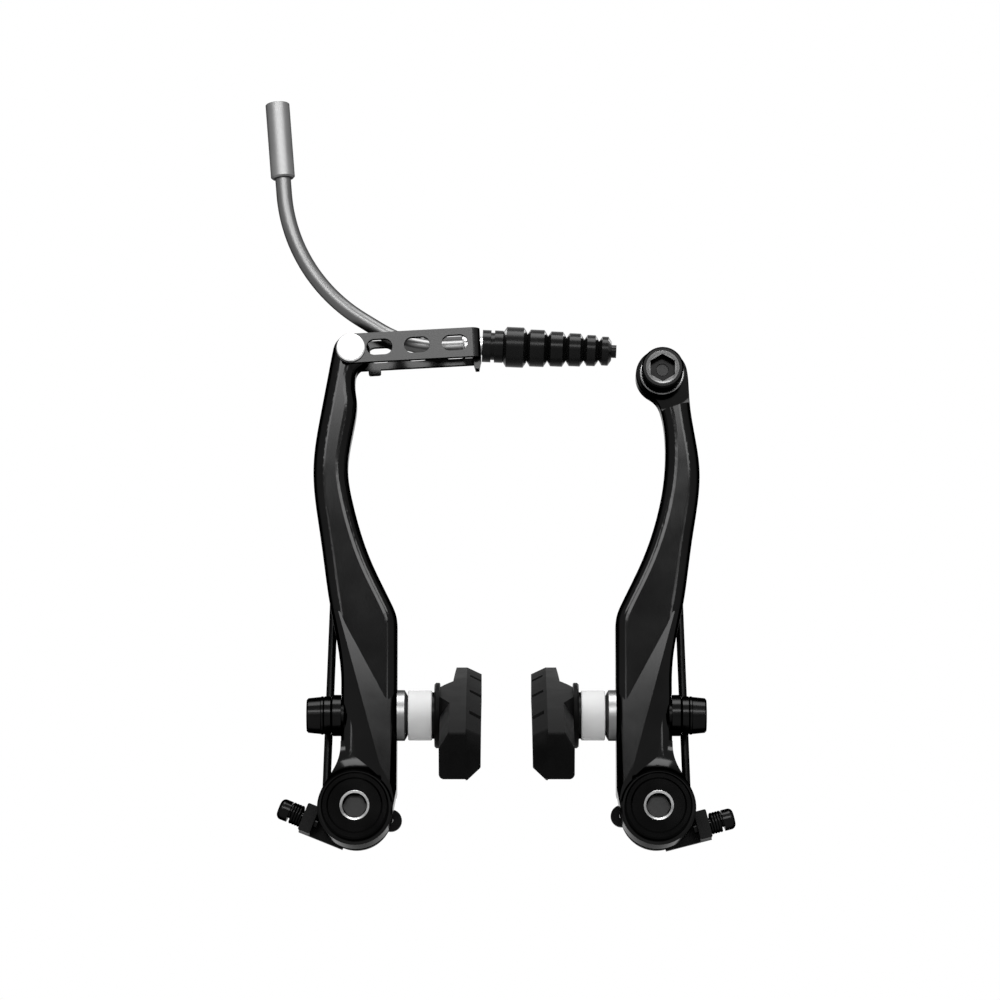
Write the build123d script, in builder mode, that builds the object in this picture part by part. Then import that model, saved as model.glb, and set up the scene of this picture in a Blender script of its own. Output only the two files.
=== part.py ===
from build123d import *
from math import cos, degrees, radians, sin, sqrt
import os

# Linear-pull bicycle brake: two sprung arms with pads, a cable link, a noodle and its rubber boot.
# +X is to the viewer's right, +Z is up, and depth is measured forward (-Y) from the mounting plane.
# The origin lies on that plane, midway between the two pivots. Paired pieces are modelled on the
# right and mirrored for the left.

# Driving dimensions: pivots and bolts, in millimetres (angles in degrees)
PIVOT_SPACING = 73.4
BUSH_BORE_RADIUS = 4.05
BUSH_RADIUS = 5.5
BUSH_LENGTH = 16.5
RUNNING_CLEARANCE = 0.06
SIDE_CLEARANCE = 0.3
BOLT_RADIUS = 3.0
PIVOT_BOLT_REACH = 14.5
PIVOT_HEAD_RADIUS = 8.2
PIVOT_HEAD_HEIGHT = 3.0
HEAD_RIM_WIDTH = 1.4
HEAD_RIM_STEP = 0.4
SOCKET_RING_RADIUS = 3.6
SOCKET_RING_STEP = 0.5
PIVOT_SOCKET_FLATS = 5.6
PIVOT_SOCKET_DEPTH = 2.0
EDGE_BREAK = 0.4
RING_BREAK = 0.2

# Driving dimensions: arms
PIN_REACH = 114.0
CLAMP_REACH = 108.4
HEAD_OUTSET = 1.7
SHOULDER_HEIGHT = 45.4
ARM_INNER_OFFSET = 10.0
ARM_SEAT_OFFSET = 3.7
ARM_FRONT = 13.0
ARM_BACK = 3.8
BLADE_BACK = 5.8
BLADE_BACK_START = 41.4
BLADE_BACK_END = 51.4
BOSS_RADIUS = 9.2
BOSS_BACK = 7.3
BOSS_RIM = 0.5
POCKET_MARGIN = 1.2
FLANK_ANGLE = 20.0
RIDGE_INNER_ANGLE = 28.4
RIDGE_ANGLE = 15.2
RIDGE_OUTER_ANGLE = 7.0
RIDGE_SLOPE = 0.3
RIDGE_TOP_OFFSET = 4.45
RIDGE_TOP_HEIGHT = 48.6
RIDGE_INSET = 0.8
RIDGE_CAP_ANGLE = 20.0
SKIRT_RADIUS = 17.0
SKIRT_DEPTH = 12.4
SKIRT_HOLLOW = 1.2
BLADE_FRONT_ROUND = 3.0
LOWER_FRONT_ROUND = 2.2
TONGUE_RADIUS = 4.6
TONGUE_NECK_ROUND = 3.0
CLAMP_BOSS_RADIUS = 6.4
CLAMP_NECK_ROUND = 5.5
CLAMP_SEAT_DEPTH = 11.2
CLAMP_SEAT_REACH = 9.0
CLAMP_SEAT_ANGLE = 18.0
HEAD_LEAN = 11.3
NECK_OFFSET_SHARE = 0.3
NECK_DROP_SHARE = 0.85

# Edge points of the blade: offset from the pivot, share of the height from shoulder to lower head
OUTER_EDGE = ((8.6, 0.893), (10.9, 0.62), (8.9, 0.335), (6.6, 0.082))
INNER_EDGE = ((-8.5, 0.087), (-3.5, 0.253), (1.2, 0.492), (2.4, 0.638), (0.3, 0.893))

# Driving dimensions: pad and its hardware
POST_HEIGHT = 23.4
POST_DEPTH = 8.6
POST_RADIUS = 3.0
POST_CLEARANCE = 0.3
SLOT_TRAVEL = 4.6
FRICTION_THICKNESS = 3.6
HOLDER_THICKNESS = 6.4
HOLDER_THIN = 3.7
HOLDER_TIP = 2.7
PAD_HEIGHT = 12.0
PAD_LENGTH = 66.0
PAD_ARC_RADIUS = 290.0
PAD_PITCH = 22.3
HUMP_RADIUS = 7.8
HUMP_SPREAD = 11.5
HOLDER_BEVEL_DEPTH = 2.4
HOLDER_BEVEL_HEIGHT = 4.2
HOLDER_ROUND = 1.3
HOLDER_END_ROUND = 0.7
FRICTION_BEVEL = 3.2
FRICTION_TOP_FALL = 1.7
FRICTION_ROUND = 0.6
FRICTION_NOSE_ROUND = 3.4
GROOVE_WIDTH = 2.4
GROOVE_DEPTH = 2.8
GROOVE_SPACING = 19.5
GROOVE_COUNT = 3
GROOVE_SLANT = 25.0
SHOULDER_RADIUS = 8.0
SHOULDER_THICKNESS = 1.4
COLLAR_RADIUS = 5.7
COLLAR_LENGTH = 0.6
POST_EMBED = 3.5
CONVEX_RADIUS = 6.2
CONVEX_LENGTH = 3.2
SPACER_RADIUS = 6.1
SPACER_LENGTH = 5.3
SPACER_MOUTH = 4.7
DOME_RADIUS = 11.0
DOME_CLEARANCE = 0.05
OUTER_CONVEX_RADIUS = 5.05
OUTER_CONVEX_LENGTH = 2.7
CUP_RADIUS = 4.7
CUP_LENGTH = 1.5
CUP_MOUTH = 4.3
PLAIN_WASHER_RADIUS = 4.7
PLAIN_WASHER_LENGTH = 0.8
NUT_RADIUS = 4.55
NUT_END_RADIUS = 4.25
NUT_LENGTH = 3.4
NUT_SOCKET_FLATS = 5.0
NUT_SOCKET_DEPTH = 1.6

# Driving dimensions: spring seat, return spring and adjuster
SEAT_RADIUS = 8.8
SEAT_PLATE = 1.4
SEAT_HUB_RADIUS = 6.3
SEAT_GAP = 0.4
TAB_REACH = 11.2
TAB_WIDTH = 5.4
TAB_ANGLE = 168.0
STOPPER_RADIUS = 1.2
STOPPER_TAIL_RADIUS = 0.9
STOPPER_REACH = 4.0
STOPPER_OFFSET = 8.2
SPRING_WIRE_RADIUS = 1.0
SPRING_COIL_RADIUS = 7.6
SPRING_PITCH = 2.3
SPRING_TURNS = 1.25
SPRING_COIL_GAP = 0.1
SPRING_LEG_HEIGHT = 60.4
SPRING_LEG_BACK = 0.4
SPRING_LEG_LEAN = 1.9
SPRING_HOOK_LENGTH = 6.6
SPRING_BEND_RADIUS = 2.0
SPRING_HOLE_CLEARANCE = 0.4
SCREW_DROP = 5.8
SCREW_DEPTH = 3.7
SCREW_RADIUS = 1.5
SCREW_HEAD_RADIUS = 2.6
SCREW_HEAD_LENGTH = 2.8
SCREW_HEAD_ROUND = 1.2
SCREW_SLOT_WIDTH = 0.9
SCREW_SLOT_DEPTH = 0.8
LUG_START = 8.6
LUG_END = 11.6
LUG_WIDTH = 7.0
GUARD_SPRING_LENGTH = 3.6
GUARD_WIRE_RADIUS = 0.4
GUARD_COIL_RADIUS = 2.25
GUARD_TURNS = 4
LEFT_SCREW_ANGLE = 22.0
RIGHT_SCREW_ANGLE = 14.5

# Driving dimensions: link, noodle, boot and cable bolt
LINK_LENGTH = 32.0
LINK_RISE = 3.2
LINK_HEIGHT = 7.3
LINK_GAP = 7.8
LINK_PLATE = 1.7
LINK_WALL = 2.1
LINK_END_RADIUS = 3.7
LINK_BEND_RADIUS = 2.4
WINDOW_LENGTH = 6.45
WINDOW_HEIGHT = 4.0
WINDOW_FIRST = 7.05
WINDOW_SPACING = 9.3
WINDOW_COUNT = 3
LINK_LUG_START = 3.9
LINK_LUG_LENGTH = 3.1
LINK_LUG_DROP = 1.3
LINK_LUG_ROUND = 0.5
WALL_TAB_WIDTH = 4.0
WALL_TAB_DROP = 2.4
WALL_TAB_TAPER = 0.6
KEYHOLE_SLOT = 2.2
PIN_RADIUS = 2.5
PIN_HEAD_RADIUS = 3.45
PIN_HEAD_HEIGHT = 1.2
PIPE_RADIUS = 1.95
LINER_RADIUS = 1.35
LINER_BORE_RADIUS = 0.85
FERRULE_RADIUS = 3.0
FERRULE_LENGTH = 19.3
FERRULE_BORE_RADIUS = 2.5
FERRULE_BORE_DEPTH = 11.0
FERRULE_GRIP = 5.0
FERRULE_LEAN = 4.7
PIPE_UPPER_RUN = 25.1
PIPE_MIDDLE_RUN = 35.5
PIPE_MIDDLE_ANGLE = 32.0
PIPE_LOWER_RUN = 14.2
PIPE_UPPER_BEND = 42.0
PIPE_LOWER_BEND = 30.0
TIP_COLLAR_RADIUS = 2.9
TIP_COLLAR_LENGTH = 2.2
TIP_GRIP = 1.3
TIP_NOSE_RADIUS = 2.3
TIP_NOSE_REACH = 1.2
KEYHOLE_CLEARANCE = 0.1
BOOT_DROOP = 2.5
BOOT_START_GAP = 0.5
BOOT_MOUTH_RADIUS = 2.4
BOOT_MOUTH_DEPTH = 1.6
BOOT_NECK_RADIUS = 4.0
BOOT_NECK_GROOVE_RADIUS = 3.4
BOOT_NECK_RIB = 2.1
BOOT_NECK_GROOVE = 0.9
BOOT_LOBE_RADII = (5.0, 4.6, 4.35, 4.1, 3.85, 3.6)
BOOT_LOBE_FLATS = (4.2, 3.4, 2.9, 2.7, 2.0, 1.5)
BOOT_LOBE_SLOPE = 0.85
BOOT_GROOVE_STEP = 1.3
BOOT_NUB_RADIUS = 1.6
BOOT_NUB_LENGTH = 1.2
BOOT_BORE_RADIUS = 0.9
CABLE_HEAD_RADIUS = 5.15
CABLE_HEAD_HEIGHT = 6.2
CABLE_SOCKET_FLATS = 6.0
CABLE_SOCKET_DEPTH = 3.0
CABLE_SOCKET_TURN = 30.0
CABLE_FLOOR_RADIUS = 1.6
CABLE_FLOOR_DEPTH = 0.4
CABLE_RING_RADIUS = 4.1
CABLE_RING_STEP = 0.5
CABLE_WASHER_RADIUS = 5.5
CABLE_WASHER_THICKNESS = 1.3
CABLE_BOLT_TAIL = 2.0

# Sizes worked out from the driving dimensions
PIVOT_X = PIVOT_SPACING / 2
BOSS_FRONT = BUSH_LENGTH - SIDE_CLEARANCE
ARM_TOP_X = PIVOT_X + HEAD_OUTSET
BLADE_MIDDLE = (ARM_FRONT + BLADE_BACK) / 2
BLADE_RISE = min(PIN_REACH, CLAMP_REACH) - SHOULDER_HEIGHT
ARM_INNER_X = PIVOT_X - ARM_INNER_OFFSET
ARM_SEAT_X = PIVOT_X + ARM_SEAT_OFFSET
CONVEX_X = ARM_INNER_X - CONVEX_LENGTH
SPACER_X = CONVEX_X - SPACER_LENGTH
SHOULDER_BACK_X = SPACER_X - COLLAR_LENGTH
HOLDER_BACK_X = SHOULDER_BACK_X - SHOULDER_THICKNESS
HOLDER_FACE_X = HOLDER_BACK_X - HOLDER_THICKNESS
PAD_FACE_X = HOLDER_FACE_X - FRICTION_THICKNESS
CUP_X = ARM_SEAT_X + OUTER_CONVEX_LENGTH
PLAIN_X = CUP_X + CUP_LENGTH
NUT_X = PLAIN_X + PLAIN_WASHER_LENGTH
NUT_END_X = NUT_X + NUT_LENGTH
POST_END_X = NUT_END_X - NUT_SOCKET_DEPTH
POST_HOLE_RADIUS = POST_RADIUS + POST_CLEARANCE
BACK_POCKET_RADIUS = BOSS_RADIUS + POCKET_MARGIN
SEAT_FRONT = BOSS_BACK - SEAT_GAP
SPRING_COIL_START = SEAT_PLATE + SPRING_WIRE_RADIUS + SPRING_COIL_GAP
SPRING_LEG_X = PIVOT_X + SPRING_COIL_RADIUS
LINK_WIDTH = LINK_GAP + 2 * LINK_PLATE
CABLE_SEAT = CLAMP_SEAT_DEPTH + CABLE_WASHER_THICKNESS

FORWARD = Vector(0, -1, 0)
OUTWARD = Vector(1, 0, 0)

pieces = {}


def front_plane(depth):
    """Sketch plane that faces forward at a depth: its local axes are X and Z."""
    return Plane.XZ.offset(depth)


def turned(plane, profile):
    """Solid of revolution about the plane's local x axis, from (along, radius) points."""
    with BuildPart() as piece:
        with BuildSketch(plane):
            with BuildLine():
                Polyline(*profile, close=True)
            make_face()
        revolve(axis=Axis(plane.origin, plane.x_dir))
    return piece


def ring(plane, start, length, outer, inner):
    """Plain ring with broken outer edges, along the plane's local x axis."""
    return turned(
        plane,
        (
            (start, inner),
            (start, outer - RING_BREAK),
            (start + RING_BREAK, outer),
            (start + length - RING_BREAK, outer),
            (start + length, outer - RING_BREAK),
            (start + length, inner),
        ),
    )


def socketed(blank, mouth, flats, depth, turn=0):
    """Piece with a hexagonal socket cut down from a plane that faces out of it."""
    with BuildPart() as piece:
        add(blank.part)
        with BuildSketch(mouth):
            RegularPolygon(radius=flats / 2, side_count=6, major_radius=False, rotation=turn)
        extrude(amount=-depth, mode=Mode.SUBTRACT)
    return piece


def mirror_image(piece):
    with BuildPart() as twin:
        mirror(piece.part, about=Plane.YZ)
    return twin


def add_pair(name, piece):
    """Keep a right-hand piece and its mirror image for the left."""
    pieces["right_" + name] = piece
    pieces["left_" + name] = mirror_image(piece)


# Pivot hardware
def pivot_axis():
    """Plane whose local x axis is the pivot, pointing forward from the mounting plane."""
    return Plane((PIVOT_X, 0, 0), x_dir=FORWARD, z_dir=OUTWARD)


def pivot_bush():
    return ring(pivot_axis(), 0, BUSH_LENGTH, BUSH_RADIUS, BUSH_BORE_RADIUS)


def pivot_bolt():
    """Bolt with a wide head: a lower rim, a raised field and a dished ring round the socket."""
    tip = BUSH_LENGTH - PIVOT_BOLT_REACH
    face = BUSH_LENGTH + PIVOT_HEAD_HEIGHT
    rim = face - HEAD_RIM_STEP
    blank = turned(
        pivot_axis(),
        (
            (tip, 0),
            (tip, BOLT_RADIUS - EDGE_BREAK),
            (tip + EDGE_BREAK, BOLT_RADIUS),
            (BUSH_LENGTH, BOLT_RADIUS),
            (BUSH_LENGTH, PIVOT_HEAD_RADIUS),
            (rim - EDGE_BREAK, PIVOT_HEAD_RADIUS),
            (rim, PIVOT_HEAD_RADIUS - EDGE_BREAK),
            (rim, PIVOT_HEAD_RADIUS - HEAD_RIM_WIDTH),
            (face, PIVOT_HEAD_RADIUS - HEAD_RIM_WIDTH - EDGE_BREAK),
            (face, SOCKET_RING_RADIUS),
            (face - SOCKET_RING_STEP, SOCKET_RING_RADIUS - SOCKET_RING_STEP),
            (face - SOCKET_RING_STEP, 0),
        ),
    )
    mouth = Plane((PIVOT_X, -face, 0), x_dir=OUTWARD, z_dir=FORWARD)
    return socketed(blank, mouth, PIVOT_SOCKET_FLATS, PIVOT_SOCKET_DEPTH + SOCKET_RING_STEP)


# Spring seat, return spring and adjuster, in a frame turned about the pivot by the screw's angle
def seat_direction(angle):
    return Vector(cos(radians(angle)), 0, sin(radians(angle)))


def seat_front(angle, depth=0.0):
    """Forward-facing plane at the pivot, with its local x axis along the adjuster screw."""
    return Plane((PIVOT_X, -depth, 0), x_dir=seat_direction(angle), z_dir=FORWARD)


def screw_plane(angle, along):
    """Plane across the adjuster screw, facing outward along it, at a distance from the pivot."""
    direction = seat_direction(angle)
    drop = Vector(sin(radians(angle)), 0, -cos(radians(angle))) * SCREW_DROP
    origin = Vector(PIVOT_X, -SCREW_DEPTH, 0) + drop + direction * along
    return Plane(origin, x_dir=FORWARD, z_dir=direction)


def tab_point(reach):
    """Point along the stopper tab, in the seat's plane, at a distance from the pivot."""
    return (reach * cos(radians(TAB_ANGLE)), reach * sin(radians(TAB_ANGLE)))


def spring_seat(angle):
    """Moulded collar with a hub for the coil, a lug for the screw and a tab for the stopper pin."""
    with BuildPart() as seat:
        with BuildSketch(seat_front(angle)):
            Circle(SEAT_RADIUS)
            with Locations((LUG_END / 2, -SCREW_DROP)):
                Rectangle(LUG_END, LUG_WIDTH)
            with Locations(tab_point(TAB_REACH / 2)):
                SlotOverall(TAB_REACH, TAB_WIDTH, rotation=TAB_ANGLE)
        extrude(amount=SEAT_PLATE)
        with BuildSketch(seat_front(angle)):
            with Locations(((LUG_START + LUG_END) / 2, -SCREW_DROP)):
                RectangleRounded(LUG_END - LUG_START, LUG_WIDTH, EDGE_BREAK)
        extrude(amount=SEAT_FRONT)
        with BuildSketch(seat_front(angle)):
            Circle(SEAT_HUB_RADIUS)
        extrude(amount=SEAT_FRONT)
        with BuildSketch(seat_front(angle)):
            Circle(BUSH_RADIUS + RUNNING_CLEARANCE)
        extrude(amount=SEAT_FRONT, mode=Mode.SUBTRACT)
        with BuildSketch(seat_front(angle)):
            with Locations(tab_point(STOPPER_OFFSET)):
                Circle(STOPPER_TAIL_RADIUS)
        extrude(amount=SEAT_PLATE, mode=Mode.SUBTRACT)
        with BuildSketch(screw_plane(angle, LUG_START)):
            Circle(SCREW_RADIUS + RUNNING_CLEARANCE)
        extrude(amount=LUG_END - LUG_START, mode=Mode.SUBTRACT)
    return seat


def stopper_pin(angle):
    """Pin that enters a hole in the frame, with a thinner tail held in the seat's tab."""
    with BuildPart() as pin:
        with BuildSketch(seat_front(angle, -STOPPER_REACH)):
            with Locations(tab_point(STOPPER_OFFSET)):
                Circle(STOPPER_RADIUS)
        extrude(amount=STOPPER_REACH)
        chamfer(pin.faces().sort_by(Axis.Y)[-1].edges(), EDGE_BREAK)
        with BuildSketch(seat_front(angle)):
            with Locations(tab_point(STOPPER_OFFSET)):
                Circle(STOPPER_TAIL_RADIUS)
        extrude(amount=SEAT_PLATE)
    return pin


def adjuster_screw(angle):
    """Slotted screw through the lug, whose tip meets the return spring's coil."""
    coil_outside = SPRING_COIL_RADIUS + SPRING_WIRE_RADIUS
    tip = sqrt(coil_outside**2 - (SCREW_DROP - SCREW_RADIUS) ** 2) + SIDE_CLEARANCE
    head = LUG_END + GUARD_SPRING_LENGTH
    with BuildPart() as screw:
        with BuildSketch(screw_plane(angle, tip)):
            Circle(SCREW_RADIUS)
        extrude(amount=head - tip)
        with BuildSketch(screw_plane(angle, head)):
            Circle(SCREW_HEAD_RADIUS)
        extrude(amount=SCREW_HEAD_LENGTH)
        outer_face = screw.faces().sort_by(Axis((0, 0, 0), seat_direction(angle)))[-1]
        fillet(outer_face.edges(), SCREW_HEAD_ROUND)
        with BuildSketch(screw_plane(angle, head + SCREW_HEAD_LENGTH)):
            Rectangle(SCREW_SLOT_WIDTH, 2 * SCREW_HEAD_RADIUS)
        extrude(amount=-SCREW_SLOT_DEPTH, mode=Mode.SUBTRACT)
    return screw


def adjuster_spring(angle):
    """Small coil that stands between the lug and the screw's head."""
    height = GUARD_SPRING_LENGTH - 2 * GUARD_WIRE_RADIUS - RUNNING_CLEARANCE
    helix = Helix(height / GUARD_TURNS, height, GUARD_COIL_RADIUS, mode=Mode.PRIVATE)
    base = screw_plane(angle, LUG_END + GUARD_WIRE_RADIUS + RUNNING_CLEARANCE / 2)
    with BuildPart() as spring:
        with BuildLine() as coil:
            add(base.location * helix)
        with BuildSketch(Plane(coil.line @ 0, z_dir=coil.line % 0)):
            Circle(GUARD_WIRE_RADIUS)
        sweep(path=coil.line, is_frenet=True)
    return spring


def return_spring():
    """Coil round the seat's hub whose leg rises outside the arm and hooks into its back."""
    coil_height = SPRING_PITCH * SPRING_TURNS
    helix = Helix(
        SPRING_PITCH, coil_height, SPRING_COIL_RADIUS, lefthand=True, mode=Mode.PRIVATE
    )
    base = Plane((PIVOT_X, -SPRING_COIL_START, 0), x_dir=OUTWARD, z_dir=FORWARD)
    leg_start = Vector(SPRING_LEG_X, -SPRING_COIL_START, 0)
    with BuildPart() as spring:
        with BuildLine() as coil:
            add(base.location * helix)
        with BuildSketch(Plane(coil.line @ 0, z_dir=coil.line % 0)):
            Circle(SPRING_WIRE_RADIUS)
        sweep(path=coil.line, is_frenet=True)
        with BuildLine() as leg:
            FilletPolyline(leg_start, spring_top(), spring_end(), radius=SPRING_BEND_RADIUS)
        with BuildSketch(Plane(leg.line @ 0, z_dir=leg.line % 0)):
            Circle(SPRING_WIRE_RADIUS)
        sweep(path=leg.line)
    return spring


def spring_top():
    return Vector(
        SPRING_LEG_X - SPRING_LEG_LEAN, SPRING_LEG_BACK - SPRING_COIL_START, SPRING_LEG_HEIGHT
    )


def spring_end():
    return spring_top() + FORWARD * SPRING_HOOK_LENGTH


# Arms
def edge_point(offset, share):
    """Point of the blade's outline, from its offset and its share of the height above the shoulder."""
    return (PIVOT_X + offset, SHOULDER_HEIGHT + share * BLADE_RISE)


def arm_outline(head_radius, head_height, trim=0.0):
    """Closed outline of the arm, from its boss into its head, with its outer edge drawn in by a trim."""
    outer = [edge_point(offset - trim, share) for offset, share in OUTER_EDGE]
    inner = [edge_point(offset, share) for offset, share in INNER_EDGE]
    seat_half = OUTER_CONVEX_RADIUS + SLOT_TRAVEL / 2
    seat_top = (ARM_SEAT_X - trim, POST_HEIGHT + seat_half)
    seat_low = (ARM_SEAT_X - trim, POST_HEIGHT - seat_half)
    flank_x = (BOSS_RADIUS - trim) * cos(radians(FLANK_ANGLE))
    flank_z = (BOSS_RADIUS - trim) * sin(radians(FLANK_ANGLE))
    flank = (PIVOT_X + flank_x, flank_z)
    heel = (PIVOT_X - flank_x, -flank_z)
    toe = (ARM_INNER_X, BOSS_RADIUS / 2)
    shoulder = (ARM_INNER_X, SHOULDER_HEIGHT)
    lean_x = sin(radians(HEAD_LEAN))
    lean_z = cos(radians(HEAD_LEAN))
    tip_outer = (ARM_TOP_X - trim + head_radius * lean_z, head_height + head_radius * lean_x)
    tip_inner = (
        ARM_TOP_X - NECK_OFFSET_SHARE * head_radius,
        head_height - NECK_DROP_SHARE * head_radius,
    )
    Spline(tip_outer, *outer, seat_top, tangents=((lean_x, -lean_z), (0, -1)))
    Line(seat_top, seat_low)
    Spline(seat_low, flank, tangents=((0, -1), (flank_z, -flank_x)))
    Polyline(flank, heel, toe, shoulder)
    Spline(shoulder, *inner, tip_inner, tangents=((0, 1), (-lean_x, lean_z)))
    Line(tip_inner, tip_outer)


def ridge_top():
    """Point on the blade's flat front where the ridge begins."""
    return Vector(PIVOT_X + RIDGE_TOP_OFFSET, -ARM_FRONT, RIDGE_TOP_HEIGHT)


def ridge_direction(angle, rise=0.0):
    """Direction down the arm's front, turned inward by an angle, with a forward rise."""
    return Vector(-sin(radians(angle)), -rise, -cos(radians(angle)))


def facet_plane(foot_angle):
    """Plane of a front facet: it holds the ridge and a foot line on the blade's flat front."""
    rise = RIDGE_SLOPE * sin(radians(RIDGE_INNER_ANGLE - RIDGE_ANGLE))
    normal = ridge_direction(foot_angle).cross(ridge_direction(RIDGE_ANGLE, rise))
    if normal.Y > 0:
        normal = -normal
    return Plane(ridge_top(), z_dir=normal)


def lower_block(trim=0.0):
    """Lower arm, up to just behind the boss's front, before that front is shaped."""
    with BuildPart() as block:
        with BuildSketch(front_plane(BOSS_BACK)):
            with BuildLine():
                arm_outline(TONGUE_RADIUS, PIN_REACH, trim)
            make_face()
        extrude(amount=BOSS_FRONT - BOSS_RIM - BOSS_BACK)
        cap_normal = Vector(-sin(radians(RIDGE_CAP_ANGLE)), 0, cos(radians(RIDGE_CAP_ANGLE)))
        split(bisect_by=Plane(ridge_top(), z_dir=cap_normal), keep=Keep.BOTTOM)
    return block


def ridge_body():
    """Lower front of the arm: two facets that meet in a ridge running from the edge to the boss."""
    with BuildPart() as ridge:
        add(lower_block(RIDGE_INSET).part)
        split(bisect_by=facet_plane(RIDGE_INNER_ANGLE), keep=Keep.BOTTOM)
        split(bisect_by=facet_plane(RIDGE_OUTER_ANGLE), keep=Keep.BOTTOM)
        inner_edges = ridge.edges().filter_by_position(Axis.X, ARM_INNER_X, ARM_INNER_X)
        fillet(inner_edges.sort_by(Axis.Y)[0], LOWER_FRONT_ROUND)
    return ridge


def boss_skirt():
    """Hollow ramp from the blade up to the boss, trimmed to the arm's outline."""
    front = BOSS_FRONT - BOSS_RIM
    with BuildPart() as skirt:
        add(lower_block().part)
        with BuildSketch(pivot_axis()):
            with BuildLine():
                ThreePointArc(
                    (front, BOSS_RADIUS),
                    ((SKIRT_DEPTH + front) / 2 - SKIRT_HOLLOW, (BOSS_RADIUS + SKIRT_RADIUS) / 2),
                    (SKIRT_DEPTH, SKIRT_RADIUS),
                )
                Polyline(
                    (SKIRT_DEPTH, SKIRT_RADIUS),
                    (BOSS_BACK, SKIRT_RADIUS),
                    (BOSS_BACK, 0),
                    (front, 0),
                    (front, BOSS_RADIUS),
                )
            make_face()
        revolve(axis=Axis((PIVOT_X, 0, 0), FORWARD), mode=Mode.INTERSECT)
    return skirt


def pivot_boss():
    """Round boss at the arm's foot, with a chamfered rim that stands proud of the facets."""
    return turned(
        pivot_axis(),
        (
            (BOSS_BACK, 0),
            (BOSS_BACK, BOSS_RADIUS),
            (BOSS_FRONT - BOSS_RIM, BOSS_RADIUS),
            (BOSS_FRONT, BOSS_RADIUS - BOSS_RIM),
            (BOSS_FRONT, 0),
        ),
    )


def arm_blade(head_radius, head_height, neck_round):
    """Blade with a round head and a stepped back, rounded along the edges of its front."""
    with BuildPart() as blade:
        with BuildSketch(front_plane(ARM_BACK)) as profile:
            with BuildLine():
                arm_outline(head_radius, head_height)
            make_face()
            with Locations((ARM_TOP_X, head_height)):
                Circle(head_radius)
            neck = (
                ARM_TOP_X - NECK_OFFSET_SHARE * head_radius,
                head_height - NECK_DROP_SHARE * head_radius,
            )
            fillet(profile.vertices().sort_by_distance((*neck, 0))[0], neck_round)
        extrude(amount=ARM_FRONT - ARM_BACK)
        with BuildSketch(Plane.YZ):
            with BuildLine():
                Polyline(
                    (-ARM_BACK, BLADE_BACK_START),
                    (-BLADE_BACK, BLADE_BACK_END),
                    (-BLADE_BACK, PIN_REACH + PIVOT_SPACING),
                    (0, PIN_REACH + PIVOT_SPACING),
                    (0, BLADE_BACK_START),
                    close=True,
                )
            make_face()
        extrude(amount=PIVOT_SPACING, mode=Mode.SUBTRACT)
        front = blade.faces().sort_by(Axis.Y)[0]
        fillet(front.edges().filter_by(lambda edge: edge.center().Z > BOSS_RADIUS), BLADE_FRONT_ROUND)
    return blade


def arm_blank(head_radius, head_height, neck_round):
    """Arm with its boss, facets, pivot bore, post slot and spring hole, and a plain round head."""
    with BuildPart() as arm:
        add(arm_blade(head_radius, head_height, neck_round).part)
        add(ridge_body().part)
        add(boss_skirt().part)
        with BuildSketch(front_plane(0)):
            with Locations((PIVOT_X, 0)):
                Circle(BACK_POCKET_RADIUS)
        extrude(amount=BOSS_BACK, mode=Mode.SUBTRACT)
        add(pivot_boss().part)
        with BuildSketch(front_plane(0)):
            with Locations((PIVOT_X, 0)):
                Circle(BUSH_RADIUS + RUNNING_CLEARANCE)
        extrude(amount=BOSS_FRONT, mode=Mode.SUBTRACT)
        with BuildSketch(Plane.YZ):
            with Locations((-POST_DEPTH, POST_HEIGHT)):
                SlotOverall(2 * POST_HOLE_RADIUS + SLOT_TRAVEL, 2 * POST_HOLE_RADIUS, rotation=90)
        extrude(amount=PIVOT_SPACING, mode=Mode.SUBTRACT)
        with BuildSketch(front_plane(0)):
            with Locations((spring_end().X, spring_end().Z)):
                Circle(SPRING_WIRE_RADIUS + SPRING_HOLE_CLEARANCE)
        extrude(amount=SPRING_HOLE_CLEARANCE - spring_end().Y, mode=Mode.SUBTRACT)
    return arm


def link_arm():
    """Left-hand arm, modelled on the right: its head is a tongue bored for the link pin."""
    with BuildPart() as arm:
        add(arm_blank(TONGUE_RADIUS, PIN_REACH, TONGUE_NECK_ROUND).part)
        with BuildSketch(front_plane(0)):
            with Locations((ARM_TOP_X, PIN_REACH)):
                Circle(PIN_RADIUS + RUNNING_CLEARANCE)
        extrude(amount=BOSS_FRONT, mode=Mode.SUBTRACT)
    return arm


def clamp_arm():
    """Right-hand arm: its head is a round boss with a sunken seat and a tapped hole."""
    with BuildPart() as arm:
        add(arm_blank(CLAMP_BOSS_RADIUS, CLAMP_REACH, CLAMP_NECK_ROUND).part)
        with BuildSketch(front_plane(CLAMP_SEAT_DEPTH)):
            with Locations((ARM_TOP_X, CLAMP_REACH)):
                Rectangle(4 * CLAMP_BOSS_RADIUS, 2 * CLAMP_SEAT_REACH, rotation=CLAMP_SEAT_ANGLE)
        extrude(amount=BOSS_FRONT - CLAMP_SEAT_DEPTH, mode=Mode.SUBTRACT)
        with BuildSketch(front_plane(0)):
            with Locations((ARM_TOP_X, CLAMP_REACH)):
                Circle(BOLT_RADIUS)
        extrude(amount=BOSS_FRONT, mode=Mode.SUBTRACT)
    return arm


# Brake pad and the hardware on its post
def post_axis():
    """Plane whose local x axis is the pad post, with distances measured from the middle plane."""
    return Plane((0, -POST_DEPTH, POST_HEIGHT), x_dir=OUTWARD, z_dir=FORWARD)


def pad_frame():
    """Section plane of the pad at its post: local y is the pad's height, pitched forward and down."""
    pitch = radians(PAD_PITCH)
    return Plane(
        (0, -POST_DEPTH, POST_HEIGHT), x_dir=OUTWARD, z_dir=Vector(0, -cos(pitch), -sin(pitch))
    )


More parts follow.
